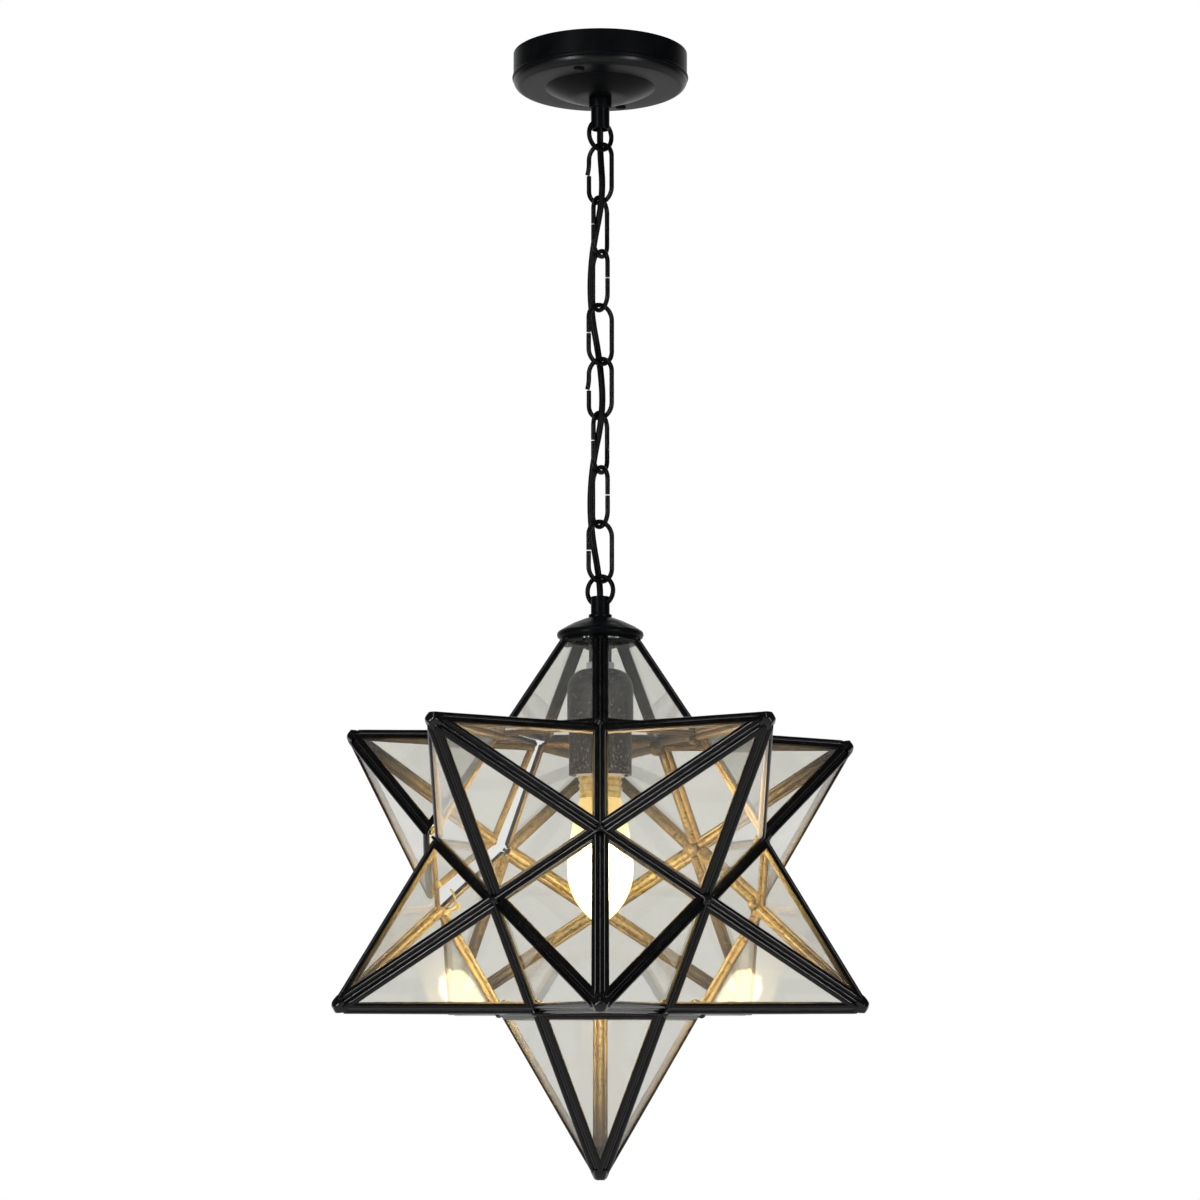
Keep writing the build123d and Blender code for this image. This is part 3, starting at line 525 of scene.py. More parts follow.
# one set of rings along the whole flex, so that its stretches meet exactly
rings = []
side = Vector((1, 0, 0))
radius = flex["diameter"] / 2 * mm
for place, spot in enumerate(centreLine):
    ahead = centreLine[min(place + 1, len(centreLine) - 1)] - centreLine[max(place - 1, 0)]
    ahead.normalize()
    side = (side - ahead * side.dot(ahead)).normalized()
    across = ahead.cross(side)
    rings.append([spot + (side * x + across * y) * radius for x, y, _ in ringPoints(1.0, 0.0, flex["sides"])])

linkCount = 8
linkNumbers = range(1, linkCount + 1)
swings = [f"link_{number}_swing" for number in linkNumbers] + ["star_swing"]
heights = [joints[name]["pos_m"][2] for name in swings]
breaks = [0]
for upper, lower in zip(heights, heights[1:]):
    middle = (upper + lower) / 2
    breaks.append(min(range(len(centreLine)), key=lambda n: abs(centreLine[n].z - middle)))
breaks.append(len(centreLine) - 1)
for number, (first, last) in enumerate(zip(breaks, breaks[1:]), 1):
    shape = bmesh.new()
    walls = [[shape.verts.new(spot) for spot in ring] for ring in rings[first:last + 1]]
    skin(shape, walls)
    shape.faces.new(walls[0])
    shape.faces.new(walls[-1])
    name = f"flex_{number}"
    piece = addObject(name, finishMesh(name, shape, flexBlack, flex["sharp"], unit=1.0))
    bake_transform(piece)
    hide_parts("power_cord")
print("flex in", len(breaks) - 1, "stretches")

# Star: the twelve points of a small stellated dodecahedron, about the star's own centre
star = {"width": 300.0, "crownFlatten": 8.4, "tipBlunt": 6.4, "cameDepth": 3.6, "seam": 0.2, "doorGap": 0.8,
        "doorAjar": 3.6, "doorAzimuth": -108.0, "upperAzimuths": (-36, 36, 108, 180),
        "lowerAzimuths": (0, 72, 144, -144, -72)}
sides = 5
sector = 360 / sides
golden = (1 + math.sqrt(5)) / 2
faceOverEdge = golden**2 / (2 * math.sqrt(3 - golden))
tipOverEdge = faceOverEdge + math.sqrt(golden**2 - golden / math.sqrt(5))
edge = star["width"] * math.sqrt(5) / (4 * math.sin(math.radians(sector)) * tipOverEdge)
faceRadius = edge / (2 * math.sin(math.radians(sector / 2)))
faceHeight = faceOverEdge * edge
beltRadius = golden * faceRadius
beltHeight = faceHeight / golden**3
tip = tipOverEdge * edge
crownApex = tip - star["crownFlatten"]
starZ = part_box("bottom_came")[0].z / mm + tip - star["tipBlunt"]
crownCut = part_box("crown_came")[1].z / mm - starZ
halfCame = star["cameDepth"] / 2
centre = Vector((0, 0, starZ))

# the bare brass is painted browner far from the lamp and above it, as painted shade where less lamp light
# reaches and the socket cover shades it; it is also pitted with the same brown, as real pits
brassShadeAndPits = {"near": 96.0, "far": 155.0, "low": 38.0, "high": 72.0, "shade": 0.85, "brown": "#30220e", "pit": 2.6,
           "pitEdge": (0.6, 0.7)}
for finish in (cameBrass, solderBare):
    tree, shader, place = opened(finish)
    # painted shade: browner with distance from the star's centre, where the lamp hangs
    away = addNode(tree, "ShaderNodeVectorMath", {0: place, 1: (0, 0, starZ * mm)}, operation="DISTANCE")
    towardBrown = addNode(tree, "ShaderNodeMapRange", {"Value": away, "From Min": brassShadeAndPits["near"] * mm,
                                                   "From Max": brassShadeAndPits["far"] * mm})
    grit = addNode(tree, "ShaderNodeTexNoise", {"Vector": place, "Scale": 1 / (brassShadeAndPits["pit"] * mm),
                                                "Detail": 2.0})
    pits = addNode(tree, "ShaderNodeMapRange", {"Value": grit, "From Min": brassShadeAndPits["pitEdge"][0],
                                                "From Max": brassShadeAndPits["pitEdge"][1]})
    # the darker of the painted shade and the real pits
    shadeAndPits = addNode(tree, "ShaderNodeMath", {0: towardBrown, 1: pits}, operation="MAXIMUM")
    # painted shade: browner higher up, where the socket cover shades the came from the lamp
    height = addNode(tree, "ShaderNodeSeparateXYZ", {"Vector": place}).outputs["Z"]
    shaded = addNode(tree, "ShaderNodeMapRange", {"Value": height, "From Min": (starZ + brassShadeAndPits["low"]) * mm,
                                                  "From Max": (starZ + brassShadeAndPits["high"]) * mm,
                                                  "To Max": brassShadeAndPits["shade"]})
    deeper = addNode(tree, "ShaderNodeMath", {0: shadeAndPits, 1: shaded}, operation="MAXIMUM")
    tone = addNode(tree, "ShaderNodeMix", {"Factor": deeper, 6: tree.nodes["tones"],
                                           7: linear(brassShadeAndPits["brown"])}, data_type="RGBA")
    plug(tree, shader, {"Base Color": tone})


def polar(radius, azimuth, height):
    turn = math.radians(azimuth)
    return Vector((radius * math.sin(turn), -radius * math.cos(turn), height))


corners = []
for step in range(sides):
    above, below = sector * step, sector * step + sector / 2
    corners += [polar(faceRadius, above, faceHeight), polar(beltRadius, above, beltHeight)]
    corners += [polar(beltRadius, below, -beltHeight), polar(faceRadius, below, -faceHeight)]
lean = 2  # the axis of a side point goes out twice as far as up
pointAxes = {"crown": Vector((0, 0, 1)), "bottom": Vector((0, 0, -1)),
             "door": polar(lean, star["doorAzimuth"], 1).normalized()}
for level, up in (("upper", 1), ("lower", -1)):
    for count, azimuth in enumerate(star[f"{level}Azimuths"], 1):
        pointAxes[f"{level}_point_{count}"] = polar(lean, azimuth, up).normalized()

# each point's own frame: Z out through its tip, X to one of its feet
pointPlaces, pointFeet = {}, {}
for name, axis in pointAxes.items():
    nearest = sorted(range(len(corners)), key=lambda c: -corners[c].dot(axis))[:sides]
    toFoot = (corners[nearest[0]] - axis * faceHeight).normalized()
    across = axis.cross(toFoot)
    turnOf = {c: math.atan2(corners[c].dot(across), corners[c].dot(toFoot)) for c in nearest}
    # a hair under a full turn, so that the first foot stays first
    pointFeet[name] = sorted(nearest, key=lambda c: turnOf[c] % (fullTurn - 0.001))
    facing = Matrix((toFoot, across, axis)).transposed().to_4x4()
    pointPlaces[name] = Matrix.Translation((0, 0, starZ * mm)) @ facing
hinge = joints["door_hinge"]
hingePlace = Matrix.Translation(hinge["pos_m"])
hingeTurn = Matrix.Rotation(math.radians(star["doorAjar"]), 4, Vector(hinge["axis"]))
doorTurn = hingePlace @ hingeTurn @ hingePlace.inverted()


def apexOf(name):
    return crownApex if name == "crown" else tip


def cutOf(name):
    return crownCut if name == "crown" else tip - star["tipBlunt"]


def bodyOf(name):
    return "door" if name == "door" else "star"


def shrink(outline, insets):
    # each side of a flat outline moved inwards by its own inset
    moved = []
    for start, end, inset in zip(outline, outline[1:] + outline[:1], insets):
        along = (end - start).normalized()
        moved.append((start + Vector((-along.y, along.x)) * inset, along))
    shrunk = []
    for (p, u), (q, v) in zip(moved[-1:] + moved[:-1], moved):
        gap = q - p
        shrunk.append(p + u * ((gap.x * v.y - gap.y * v.x) / (u.x * v.y - u.y * v.x)))
    return shrunk


# One came frame: a rounded channel round a pane, mitred at its corners
came = {"cuts": (12, 18, 18), "wander": 0.04, "lump": 14.0, "seedStep": 1.7,
        # across the channel: from the fold to the glass, and out through the pane's thickness
        "profile": ((0.0, -1.1), (0.0, 0.2), (0.1, 0.72), (0.38, 1.2), (0.82, 1.54), (1.36, 1.74),
                    (1.95, 1.8), (2.54, 1.74), (3.08, 1.54), (3.5, 1.22), (3.78, 0.8), (3.9, 0.35),
                    (3.9, -0.6), (3.78, -1.1), (3.4, -1.5), (2.6, -1.74), (1.3, -1.8), (0.35, -1.62)),
        "crestLow": 1.4, "crestHeight": 0.4, "firstGlintBand": 9, "lastInner": 17, "tipDark": 7.0}


def cameFrame(apex, cut, footExtra):
    toNext = Matrix.Rotation(math.radians(sector), 3, "Z")
    left = Vector((faceRadius, 0, faceHeight))
    right = toNext @ left
    top = Vector((0, 0, apex))
    facing = (right - left).cross(top - left).normalized()
    ridgeFold = facing.angle(toNext @ facing)
    regular = math.radians(180) - 2 * math.atan(golden)
    folds = [halfCame * math.tan(angle / 2) + star["seam"] / 2 for angle in (regular, ridgeFold, ridgeFold)]
    folds[0] += footExtra
    origin = (left + right) / 2
    along = (right - left).normalized()
    up = facing.cross(along)
    outline = [Vector(((p - origin).dot(along), (p - origin).dot(up))) for p in (left, right, top)]
    shape = bmesh.new()
    innerLayer = shape.faces.layers.int.new("inner")
    crestLayer = shape.verts.layers.float.new("crest")
    rows = []
    for inward, outward in came["profile"]:
        ends = shrink(outline, [fold + inward for fold in folds])
        row = []
        for start, end, cuts in zip(ends, ends[1:] + ends[:1], came["cuts"]):
            for step in range(cuts):
                flat = start.lerp(end, step / cuts)
                vert = shape.verts.new(origin + along * flat.x + up * flat.y + facing * outward)
                vert[crestLayer] = max(0.0, (outward - came["crestLow"]) / came["crestHeight"])
                row.append(vert)
        rows.append(row)
    for number, face in enumerate(skin(shape, rows, closed=True)):
        below = face.calc_center_median().z < cut - came["tipDark"]
        # the first two of these bands lie on the lip where the channel meets the glass: their bare brass is a
        # painted highlight, a pale line along each glass edge; the bands after them are the came's real bare
        # brass, at the glass edge and on the inside
        inner = came["firstGlintBand"] <= number // len(rows[0]) <= came["lastInner"]
        face[innerLayer] = int(below and inner)
        face.smooth = True
    mitres = [sum(came["cuts"][:corner]) for corner in range(len(came["cuts"]))]
    for row, after in zip(rows, rows[1:] + rows[:1]):
        for step in mitres:
            shape.edges.get((row[step], after[step])).smooth = False
    cutOff(shape, (0, 0, cut), (0, 0, 1))
    return plainMesh("cameFrame", shape)


for seed, name in enumerate(pointAxes):
    frameMesh = cameFrame(apexOf(name), cutOf(name), star["doorGap"] if name == "door" else 0.0)
    # painted shade: inside the crown the came takes the black finish, where the socket cover keeps the lamp's
    # light off it
    mesh = runTree(copyTree, f"{name}_channels", frameMesh, Copies=sides, Wander=came["wander"] * mm,
                   Lump=came["lump"] * mm, Seed=came["seedStep"] * seed, Finish=cameBlack,
                   **{"Inner Finish": cameBlack if name == "crown" else cameBrass})
    mesh.transform(pointPlaces[name])
    addPiece(f"{name}_channels", mesh, bodyOf(name), f"{name}_came")
print("came on", len(pointAxes), "points")

# Folds of the star: ridges run from a foot to a tip, valleys between two feet
paneNormals, valleys = {}, {}
for name, axis in pointAxes.items():
    feet = [corners[c] for c in pointFeet[name]]
    apex = axis * apexOf(name)
    pairs = list(zip(feet, feet[1:] + feet[:1]))
    paneNormals[name] = [(after - foot).cross(apex - foot).normalized() for foot, after in pairs]
    for n, normal in enumerate(paneNormals[name]):
        pair = frozenset((pointFeet[name][n], pointFeet[name][(n + 1) % sides]))
        valleys.setdefault(pair, {})[name] = normal
seams = {"ridge": -1.15, "ridgeRadius": 1.0, "ridgeInside": -3.3, "insideRadius": 2.4, "valley": 2.15,
         "valleyRadius": 0.9, "valleyInside": -0.3, "spacing": 1.6, "sides": 12, "wander": 0.16, "lump": 4.5,
         "insideWander": 0.07, "footGap": 2.0, "insideGap": 3.2, "insideShort": 14.0}
seamLines = {body: {"black": [], "bare": [], "fine": []} for body in ("star", "door")}
for name, axis in pointAxes.items():
    for n in range(sides):
        outward = (paneNormals[name][n] + paneNormals[name][n - 1]).normalized()
        foot = corners[pointFeet[name][n]]
        rise = axis * apexOf(name) - foot
        stop = foot + rise * ((cutOf(name) - foot.dot(axis)) / rise.dot(axis))
        for kind, height, gap, short in (
                ("black", seams["ridge"], seams["footGap"], 0.0),
                ("bare", seams["ridgeInside"], seams["insideGap"], seams["insideShort"])):
            if name == "crown" and kind == "bare":
                continue
            ends = (foot + rise.normalized() * gap, stop - rise.normalized() * short)
            seamLines[bodyOf(name)][kind].append([centre + end + outward * height for end in ends])
for pair, normals in valleys.items():
    if "door" in normals:
        continue
    outward = sum(normals.values(), Vector()).normalized()
    ends = [corners[c] for c in pair]
    drawn = (ends[1] - ends[0]).normalized() * seams["insideGap"]
    inner = (ends[0] + drawn, ends[1] - drawn)
    seamLines["star"]["fine"].append([centre + end + outward * seams["valley"] for end in ends])
    seamLines["star"]["bare"].append([centre + end + outward * seams["valleyInside"] for end in inner])
seamKinds = {"black": ("ridgeRadius", "wander", solderBlack, "black_solder"),
             "bare": ("insideRadius", "insideWander", solderBare, "brass"),
             "fine": ("valleyRadius", "wander", solderBlack, "black_solder")}
for body, kinds in seamLines.items():
    for kind, lines in kinds.items():
        if not lines:
            continue
        radius, wander, finish, slot = seamKinds[kind]
        name = f"{body}_seams_{kind}"
        mesh = bead(name, lines, seams[radius], finish, {**seams, "wander": seams[wander]})
        addPiece(name, mesh, body)

# Lumps of solder where the points meet, outside and in; none where the door has to come free
lumps = {"outside": (3.0, 1.3), "inside": (3.9, -4.6), "wander": 0.4, "lump": 2.6, "sizes": (0.75, 1.15),
         "seed": 4}
freeCorners = [spot for c, spot in enumerate(corners) if c not in pointFeet["door"]]
for kind, finish, slot in (("outside", solderBlack, "black_solder"), ("inside", solderBare, "brass")):
    radius, raised = lumps[kind]
    spots = [[centre + spot + spot.normalized() * raised] for spot in freeCorners]
    name = f"solder_lumps_{kind}"
    mesh = runTree(lumpTree, name, pathMesh(name, spots), Radius=radius * mm, Wander=lumps["wander"] * mm,
                   Lump=lumps["lump"] * mm, Seed=lumps["seed"], Smallest=lumps["sizes"][0],
                   Largest=lumps["sizes"][1], Finish=finish)
    addPiece(name, mesh, "star")
print("seams soldered")

# Solder caps on the blunt tips: five-sided at the came, melted round at the end
tipCap = {"steps": 40, "levels": ((-1.5, 5.9, 0.0), (0.0, 5.45, 0.05), (1.4, 4.85, 0.1), (2.6, 4.25, 0.15),
                                  (3.5, 3.65, 0.25), (4.0, 2.9, 0.5), (4.17, 1.5, 0.9)), "roundShare": 0.9,
          "top": 4.2, "wander": 0.2, "lump": 2.2, "sharp": 60.0, "seedStep": 3.1, "doorSeed": 41.0}


def tipSolder(name, seed):
    shape = bmesh.new()
    rings = []
    base = tip - star["tipBlunt"]
    half = math.radians(sector / 2)
    for height, radius, roundness in tipCap["levels"]:
        ring = []
        for step in range(tipCap["steps"]):
            turn = fullTurn * step / tipCap["steps"]
            offFoot = (turn + half) % math.radians(sector) - half
            flat = math.cos(half) / math.cos(half - abs(offFoot))
            reach = radius * (flat * (1 - roundness) + tipCap["roundShare"] * roundness)
            ring.append(shape.verts.new((reach * math.cos(turn), reach * math.sin(turn), base + height)))
        rings.append(ring)
    rings.append([shape.verts.new((0, 0, base + tipCap["top"]))])
    skin(shape, rings)
    shape.faces.new(rings[0])
    shape.normal_update()
    for vert in shape.verts:  # worked by hand
        spot = vert.co / tipCap["lump"] + Vector((seed, 0, 0))
        vert.co += vert.normal * -tipCap["wander"] * noise.noise(spot)
    mesh = finishMesh(f"{name}_tip", shape, solderBlack, tipCap["sharp"])
    mesh.transform(pointPlaces[name])
    return mesh


caps = [tipSolder(name, tipCap["seedStep"] * seed) for seed, name in enumerate(pointAxes)
        if name not in ("crown", "door")]
addPiece("tip_caps", joined("tip_caps", caps), "star", "tip_solder")
addPiece("door_tip_cap", tipSolder("door", tipCap["doorSeed"]), "door", "door_tip_solder")

# Latch: turned studs on the star and the door, for the hook to turn on and to catch
latch = {"studPlace": 5.5, "pegPlace": -6.0, "shoulder": 8.0, "headLow": 10.0, "headTop": 10.8, "seat": 0.6,
         "profile": ((2.4, 0.0), (2.3, 1.6), (1.8, 2.4), (1.45, 3.4)), "neck": 1.4, "pin": 0.9, "head": 2.2,
         "headEdge": (0.15, 0.25), "headFlat": 0.7, "steps": 32, "sharp": 40.0}
doorCorner = polar(beltRadius, star["doorAzimuth"], -beltHeight)
valleyFoot = polar(faceRadius, star["doorAzimuth"], -faceHeight)
foldEnds = frozenset(min(range(len(corners)), key=lambda c: (corners[c] - spot).length)
                     for spot in (doorCorner, valleyFoot))
inward = -sum(valleys[foldEnds].values(), Vector()).normalized()
along = (valleyFoot - doorCorner).normalized()
latchPlace = Matrix((along, inward.cross(along), inward)).transposed().to_4x4()
latchPlace.translation = (centre + doorCorner) * mm
profile = [(0, latch["seat"])] + [(radius, latch["seat"] + height) for radius, height in latch["profile"]]
profile += [(latch["neck"], latch["shoulder"]), (latch["pin"], latch["shoulder"]),
            (latch["pin"], latch["headLow"]), (latch["head"], latch["headLow"]),
            (latch["head"] - latch["headEdge"][0], latch["headTop"] - latch["headEdge"][1]),
            (latch["head"] - latch["headFlat"], latch["headTop"]), (0, latch["headTop"])]
for name, spot, body, replaced in (("latch_stud", "studPlace", "star", "latch_bracket"),
                                   ("latch_catch", "pegPlace", "door", "latch_peg")):
    mesh = finishMesh(name, lathe(profile, latch["steps"]), brassTurned, latch["sharp"])
    mesh.transform(latchPlace @ Matrix.Translation((latch[spot] * mm, 0, 0)))
    addPiece(name, mesh, body, replaced)

# Chain: eight links of bent wire, each left open at a butt joint on one leg
links = {"wire": 2.75, "halfWidth": 8.2, "length": 34.9, "gap": 0.8,
         "yaws": (-36, 61, -59, 35, -36, 61, -59, 35), "jointSides": (-1, -1, 1, -1, -1, -1, 1, -1),
         "sprung": {1: 1.3, 5: 1.3}, "sprungLength": 7.5, "sides": 18, "spacing": 0.7, "wander": 0.02,
         "lump": 6.0, "sharp": 50.0, "arcSteps": 28, "legSteps": 10}
half = links["halfWidth"]
straight = links["length"] / 2 - half
legSteps = links["legSteps"]
legs = [links["gap"] / 2 + (straight - links["gap"] / 2) * step / legSteps for step in range(legSteps)]
turns = [math.pi * step / links["arcSteps"] for step in range(links["arcSteps"] + 1)]
for number, yaw, side in zip(linkNumbers, links["yaws"], links["jointSides"]):
    low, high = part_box(f"chain_link_{number}")
    middle = (low.z + high.z) / 2 / mm
    spring = [links["sprung"].get(number, 0) * max(0, 1 - z / links["sprungLength"]) ** 2 for z in legs]
    flat = [(side * (half + out), z) for out, z in zip(spring, legs)]
    flat += [(side * half * math.cos(a), straight + half * math.sin(a)) for a in turns]
    flat += [(-side * half, straight - straight * step / legSteps) for step in range(1, 2 * legSteps)]
    flat += [(-side * half * math.cos(a), -straight - half * math.sin(a)) for a in turns]
    flat += [(side * half, -z) for z in reversed(legs)]
    spin = Matrix.Rotation(math.radians(yaw), 3, "Z")
    line = [spin @ Vector((x, 0, z)) + Vector((0, 0, middle)) for x, z in flat]
    mesh = bead(f"link_wire_{number}", [line], links["wire"] / 2, wireBlack, links)
    mesh.set_sharp_from_angle(angle=math.radians(links["sharp"]))
    addPiece(f"link_wire_{number}", mesh, f"link_{number}", f"chain_link_{number}")
print("chain of", linkCount, "links")

# Loops at both ends of the chain: barrel, flange and ring
loops = {"ringRadius": 8.5, "ringOffset": 3.3, "barrelRadius": 5.45, "flangeRadius": 6.7, "hole": 4.3,
         "thread": 4.15, "threadDepth": 5.6, "ease": 0.7, "steps": 64, "sharp": 45.0,
         "canopy": {"barrel": 12.7, "flange": 5.8, "yaw": 40, "flip": math.pi},
         "crown": {"barrel": 10.4, "flange": 2.3, "yaw": -30, "flip": 0.0}}


def loopMesh(name, barrelEnd, end):
    low = -end["barrel"] - end["flange"]
    ledge = low + end["flange"]
    bore = ledge + loops["threadDepth"]
    profile = [(loops["thread"], low), (loops["flangeRadius"], low), (loops["flangeRadius"], ledge),
               (loops["barrelRadius"], ledge), (loops["barrelRadius"], 0), (loops["hole"], 0),
               (loops["hole"], bore), (loops["thread"], bore)]
    shape = lathe(eased(profile, loops["ease"]), loops["steps"], closed=True)
    barrel = finishMesh(name, shape, steelBlack, loops["sharp"])
    ring = [(x, 0, loops["ringOffset"] + y) for x, y, _ in ringPoints(loops["ringRadius"], 0.0, loops["steps"])]
    wire = bead(f"{name}Ring", [ring], links["wire"] / 2, steelBlack, links, closed=True)
    mesh = joined(name, [barrel, wire])
    turned = Matrix.Rotation(math.radians(end["yaw"]), 4, "Z") @ Matrix.Rotation(end["flip"], 4, "X")
    mesh.transform(Matrix.Translation((0, 0, barrelEnd * mm)) @ turned)
    return mesh


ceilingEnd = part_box("ceiling_loop")[1].z / mm - loops["canopy"]["barrel"] - loops["canopy"]["flange"]
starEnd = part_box("star_loop")[0].z / mm + loops["crown"]["barrel"] + loops["crown"]["flange"]
mesh = loopMesh("canopy_loop", ceilingEnd, loops["canopy"])
addPiece("canopy_loop", mesh, "canopy", "ceiling_loop")
mesh = loopMesh("crown_loop", starEnd, loops["crown"])
addPiece("crown_loop", mesh, "star", "star_loop")

# Canopy: wall, bead, rounded shoulder, flat and shallow dome
canopy = {"radius": 51.0, "wall": 13.0, "bead": 0.7, "beadSteps": 8, "depth": 20.0, "shoulder": 4.6,
          "shoulderSteps": 10, "flatRadius": 46.4, "flatStop": 39.0, "domeRadius": 32.3, "domeSteps": 14,
          "domeFlat": 15.5, "domeStop": 10.0, "domeDrop": 6.5, "domeBow": 0.62, "sheet": 1.1, "hole": 4.15,
          "steps": 160, "sharp": 28.0, "runNear": 1.5, "runFar": 2.3, "runCoat": 0.4, "runRoughness": 0.3}

# Enamel run thick over the canopy's shoulder: it shines there
canopyBlack = steelBlack.copy()
canopyBlack.name = "pressed_steel_black_enamel_run"
tree, shader, place = opened(canopyBlack)
middle = canopy["shoulder"] / 2 - canopy["depth"]
upright = addNode(tree, "ShaderNodeVectorMath", {0: place, 1: (0, 0, 1)}, operation="MULTIPLY")
away = addNode(tree, "ShaderNodeVectorMath", {0: upright, 1: (0, 0, middle * mm)}, operation="DISTANCE")
run = addNode(tree, "ShaderNodeMapRange", {"Value": away, "From Min": canopy["runNear"] * mm,
                                           "From Max": canopy["runFar"] * mm, "To Min": canopy["runCoat"],
                                           "To Max": 0.0})
plug(tree, shader, {"Coat Weight": run, "Coat Roughness": canopy["runRoughness"]})
slant = math.sin(math.radians(45))


def canopyLine(sheet, beadOut):
    wall = canopy["radius"] - sheet
    flat = -canopy["depth"] + sheet
    base = flat - canopy["domeDrop"]
    shoulderTop = -canopy["depth"] + canopy["shoulder"]
    bow = (canopy["shoulder"] - sheet) * slant
    line = [(wall, 0.0), (wall, -canopy["wall"] / 2), (wall, -canopy["wall"])]
    if beadOut:
        middle = (wall + beadOut, (shoulderTop - canopy["wall"]) / 2)
        line += arc(line[-1], middle, (wall, shoulderTop), canopy["beadSteps"])
    else:
        line.append((wall, shoulderTop))
    middle = (canopy["flatRadius"] + bow, shoulderTop - bow)
    line += arc(line[-1], middle, (canopy["flatRadius"], flat), canopy["shoulderSteps"])
    line += [(canopy["flatStop"], flat), (canopy["domeRadius"], flat)]
    bow = canopy["domeBow"] * canopy["domeDrop"]
    middle = ((canopy["domeRadius"] + canopy["domeFlat"]) / 2, flat - bow)
    line += arc(line[-1], middle, (canopy["domeFlat"], base), canopy["domeSteps"])
    return line + [(canopy["domeStop"], base), (canopy["hole"], base)]


profile = canopyLine(0.0, canopy["bead"]) + canopyLine(canopy["sheet"], 0.0)[::-1]
addTurned("canopy_shell", profile, canopy, canopyBlack, "canopy", "canopy")

# Canopy screws: domed heads with a driver slot, on their shanks
screws = {"count": 2, "azimuth": -17.5, "circle": 40.5, "head": 3.1, "headHeight": 1.3, "shank": 2.0,
          "slot": 0.4, "slotDepth": 0.7, "slotTurn": 68.0, "dome": ((-0.3, 0.35), (-1.0, 0.12), (-1.9, 0.02)),
          "steps": 40, "sharp": 35.0}
screwTop = -canopy["depth"]
headLow = screwTop - screws["headHeight"]
slotFloor = headLow + screws["slotDepth"]
profile = [(0, slotFloor), (screws["head"], slotFloor)]
profile += [(screws["head"] + inset, headLow + rise) for inset, rise in screws["dome"]] + [(0, headLow)]
parts = []
for side in (-1, 1):
    half = lathe(profile, screws["steps"])
    cutOff(half, (side * screws["slot"], 0, 0), (-side, 0, 0))
    parts.append(finishMesh("screwHalf", half, steelBlack, screws["sharp"]))
shank = lathe([(0, 0), (screws["shank"], 0), (screws["shank"], screwTop), (screws["head"], screwTop),
               (screws["head"], slotFloor), (0, slotFloor)], screws["steps"])
screw = joined("screw", parts + [finishMesh("screwShank", shank, steelBlack, screws["sharp"])])
screw.transform(Matrix.Rotation(math.radians(screws["slotTurn"]), 4, "Z"))
screw.transform(Matrix.Translation(polar(screws["circle"], screws["azimuth"], 0) * mm))
mesh = runTree(copyTree, "screws", screw, Copies=screws["count"], Wander=0.0, Lump=1.0, Seed=0.0,
               Finish=steelBlack, **{"Inner Finish": steelBlack})
addPiece("screws", mesh, "canopy", "canopy_screws")

# Crown: shallow pressed dome over the top of the star, rough with solder under its rim
crown = {"radius": 25.0, "flat": 8.2, "rimHeight": 5.2, "rimTuck": 1.5, "rimRun": 1.7, "rimDrop": 0.4,
         "rimSteps": 10, "bow": 0.5, "domeSteps": 12, "sheet": 1.2, "hole": 4.15, "wander": 0.35, "lump": 5.0,
         "fadeIn": 4.0, "fadeOut": 2.0, "steps": 120, "sharp": 40.0}
crownLow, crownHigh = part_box("crown_cap")
seat, crownTop = crownLow.z / mm, crownHigh.z / mm


def crownLine(sheet):
    rim = crown["radius"] - sheet
    top = crownTop - sheet
    foot = (rim - crown["rimRun"], seat + crown["rimHeight"] - crown["rimDrop"] - sheet)
    middle = ((foot[0] + crown["flat"]) / 2, (top + foot[1]) / 2 + crown["bow"])
    line = [(crown["hole"], top), (crown["flat"], top)]
    line += arc(line[-1], middle, foot, crown["domeSteps"])
    middle = (rim, seat + crown["rimHeight"] / 2)
    return line + arc(foot, middle, (rim - crown["rimTuck"], seat), crown["rimSteps"])


shape = lathe(crownLine(0.0) + crownLine(crown["sheet"])[::-1], crown["steps"], closed=True)
for vert in shape.verts:
    out = Vector((vert.co.x, vert.co.y, 0)).length
    fade = min(1.0, (out - crown["flat"]) / crown["fadeIn"], (crown["radius"] - out) / crown["fadeOut"])
    vert.co.z += max(0.0, fade) * crown["wander"] * noise.noise(vert.co / crown["lump"])
mesh = finishMesh("crown_dome", shape, steelBlack, crown["sharp"])
addPiece("crown_dome", mesh, "star", "crown_cap")
solderRing = {"radius": 20.6, "drop": 1.2, "thick": 2.6, "points": 90, "spacing": 1.2, "sides": 14,
              "wander": 0.3, "lump": 5.0}
ring = ringPoints(solderRing["radius"], seat - solderRing["drop"], solderRing["points"])
mesh = bead("crown_solder", [ring], solderRing["thick"], solderBlack, solderRing, closed=True)
addPiece("crown_solder", mesh, "star")

# Socket cover: domed top, straight side and a rolled lip at its mouth
socket = {"radius": 18.5, "shoulder": 11.0, "shoulderSteps": 14, "sheet": 1.0, "hole": 4.15, "lip": 0.5,
          "lipHeight": 3.0, "steps": 96, "sharp": 35.0}
coverLow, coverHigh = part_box("socket_cover")
mouth, coverTop = coverLow.z / mm, coverHigh.z / mm


def coverLine(sheet):
    radius = socket["radius"] - sheet
    top = coverTop - sheet
    bend = socket["shoulder"] - sheet
    bow = bend * slant
    line = [(socket["hole"], top), (radius - bend, top)]
    middle = (radius - bend + bow, top - bend + bow)
    line += arc(line[-1], middle, (radius, top - bend), socket["shoulderSteps"])
    return line + [(radius, mouth + socket["lipHeight"]), (radius, mouth)]


profile = eased(coverLine(0.0) + coverLine(socket["sheet"])[::-1], socket["lip"])
addTurned("socket_hood", profile, socket, socketGrey, "star", "socket_cover")

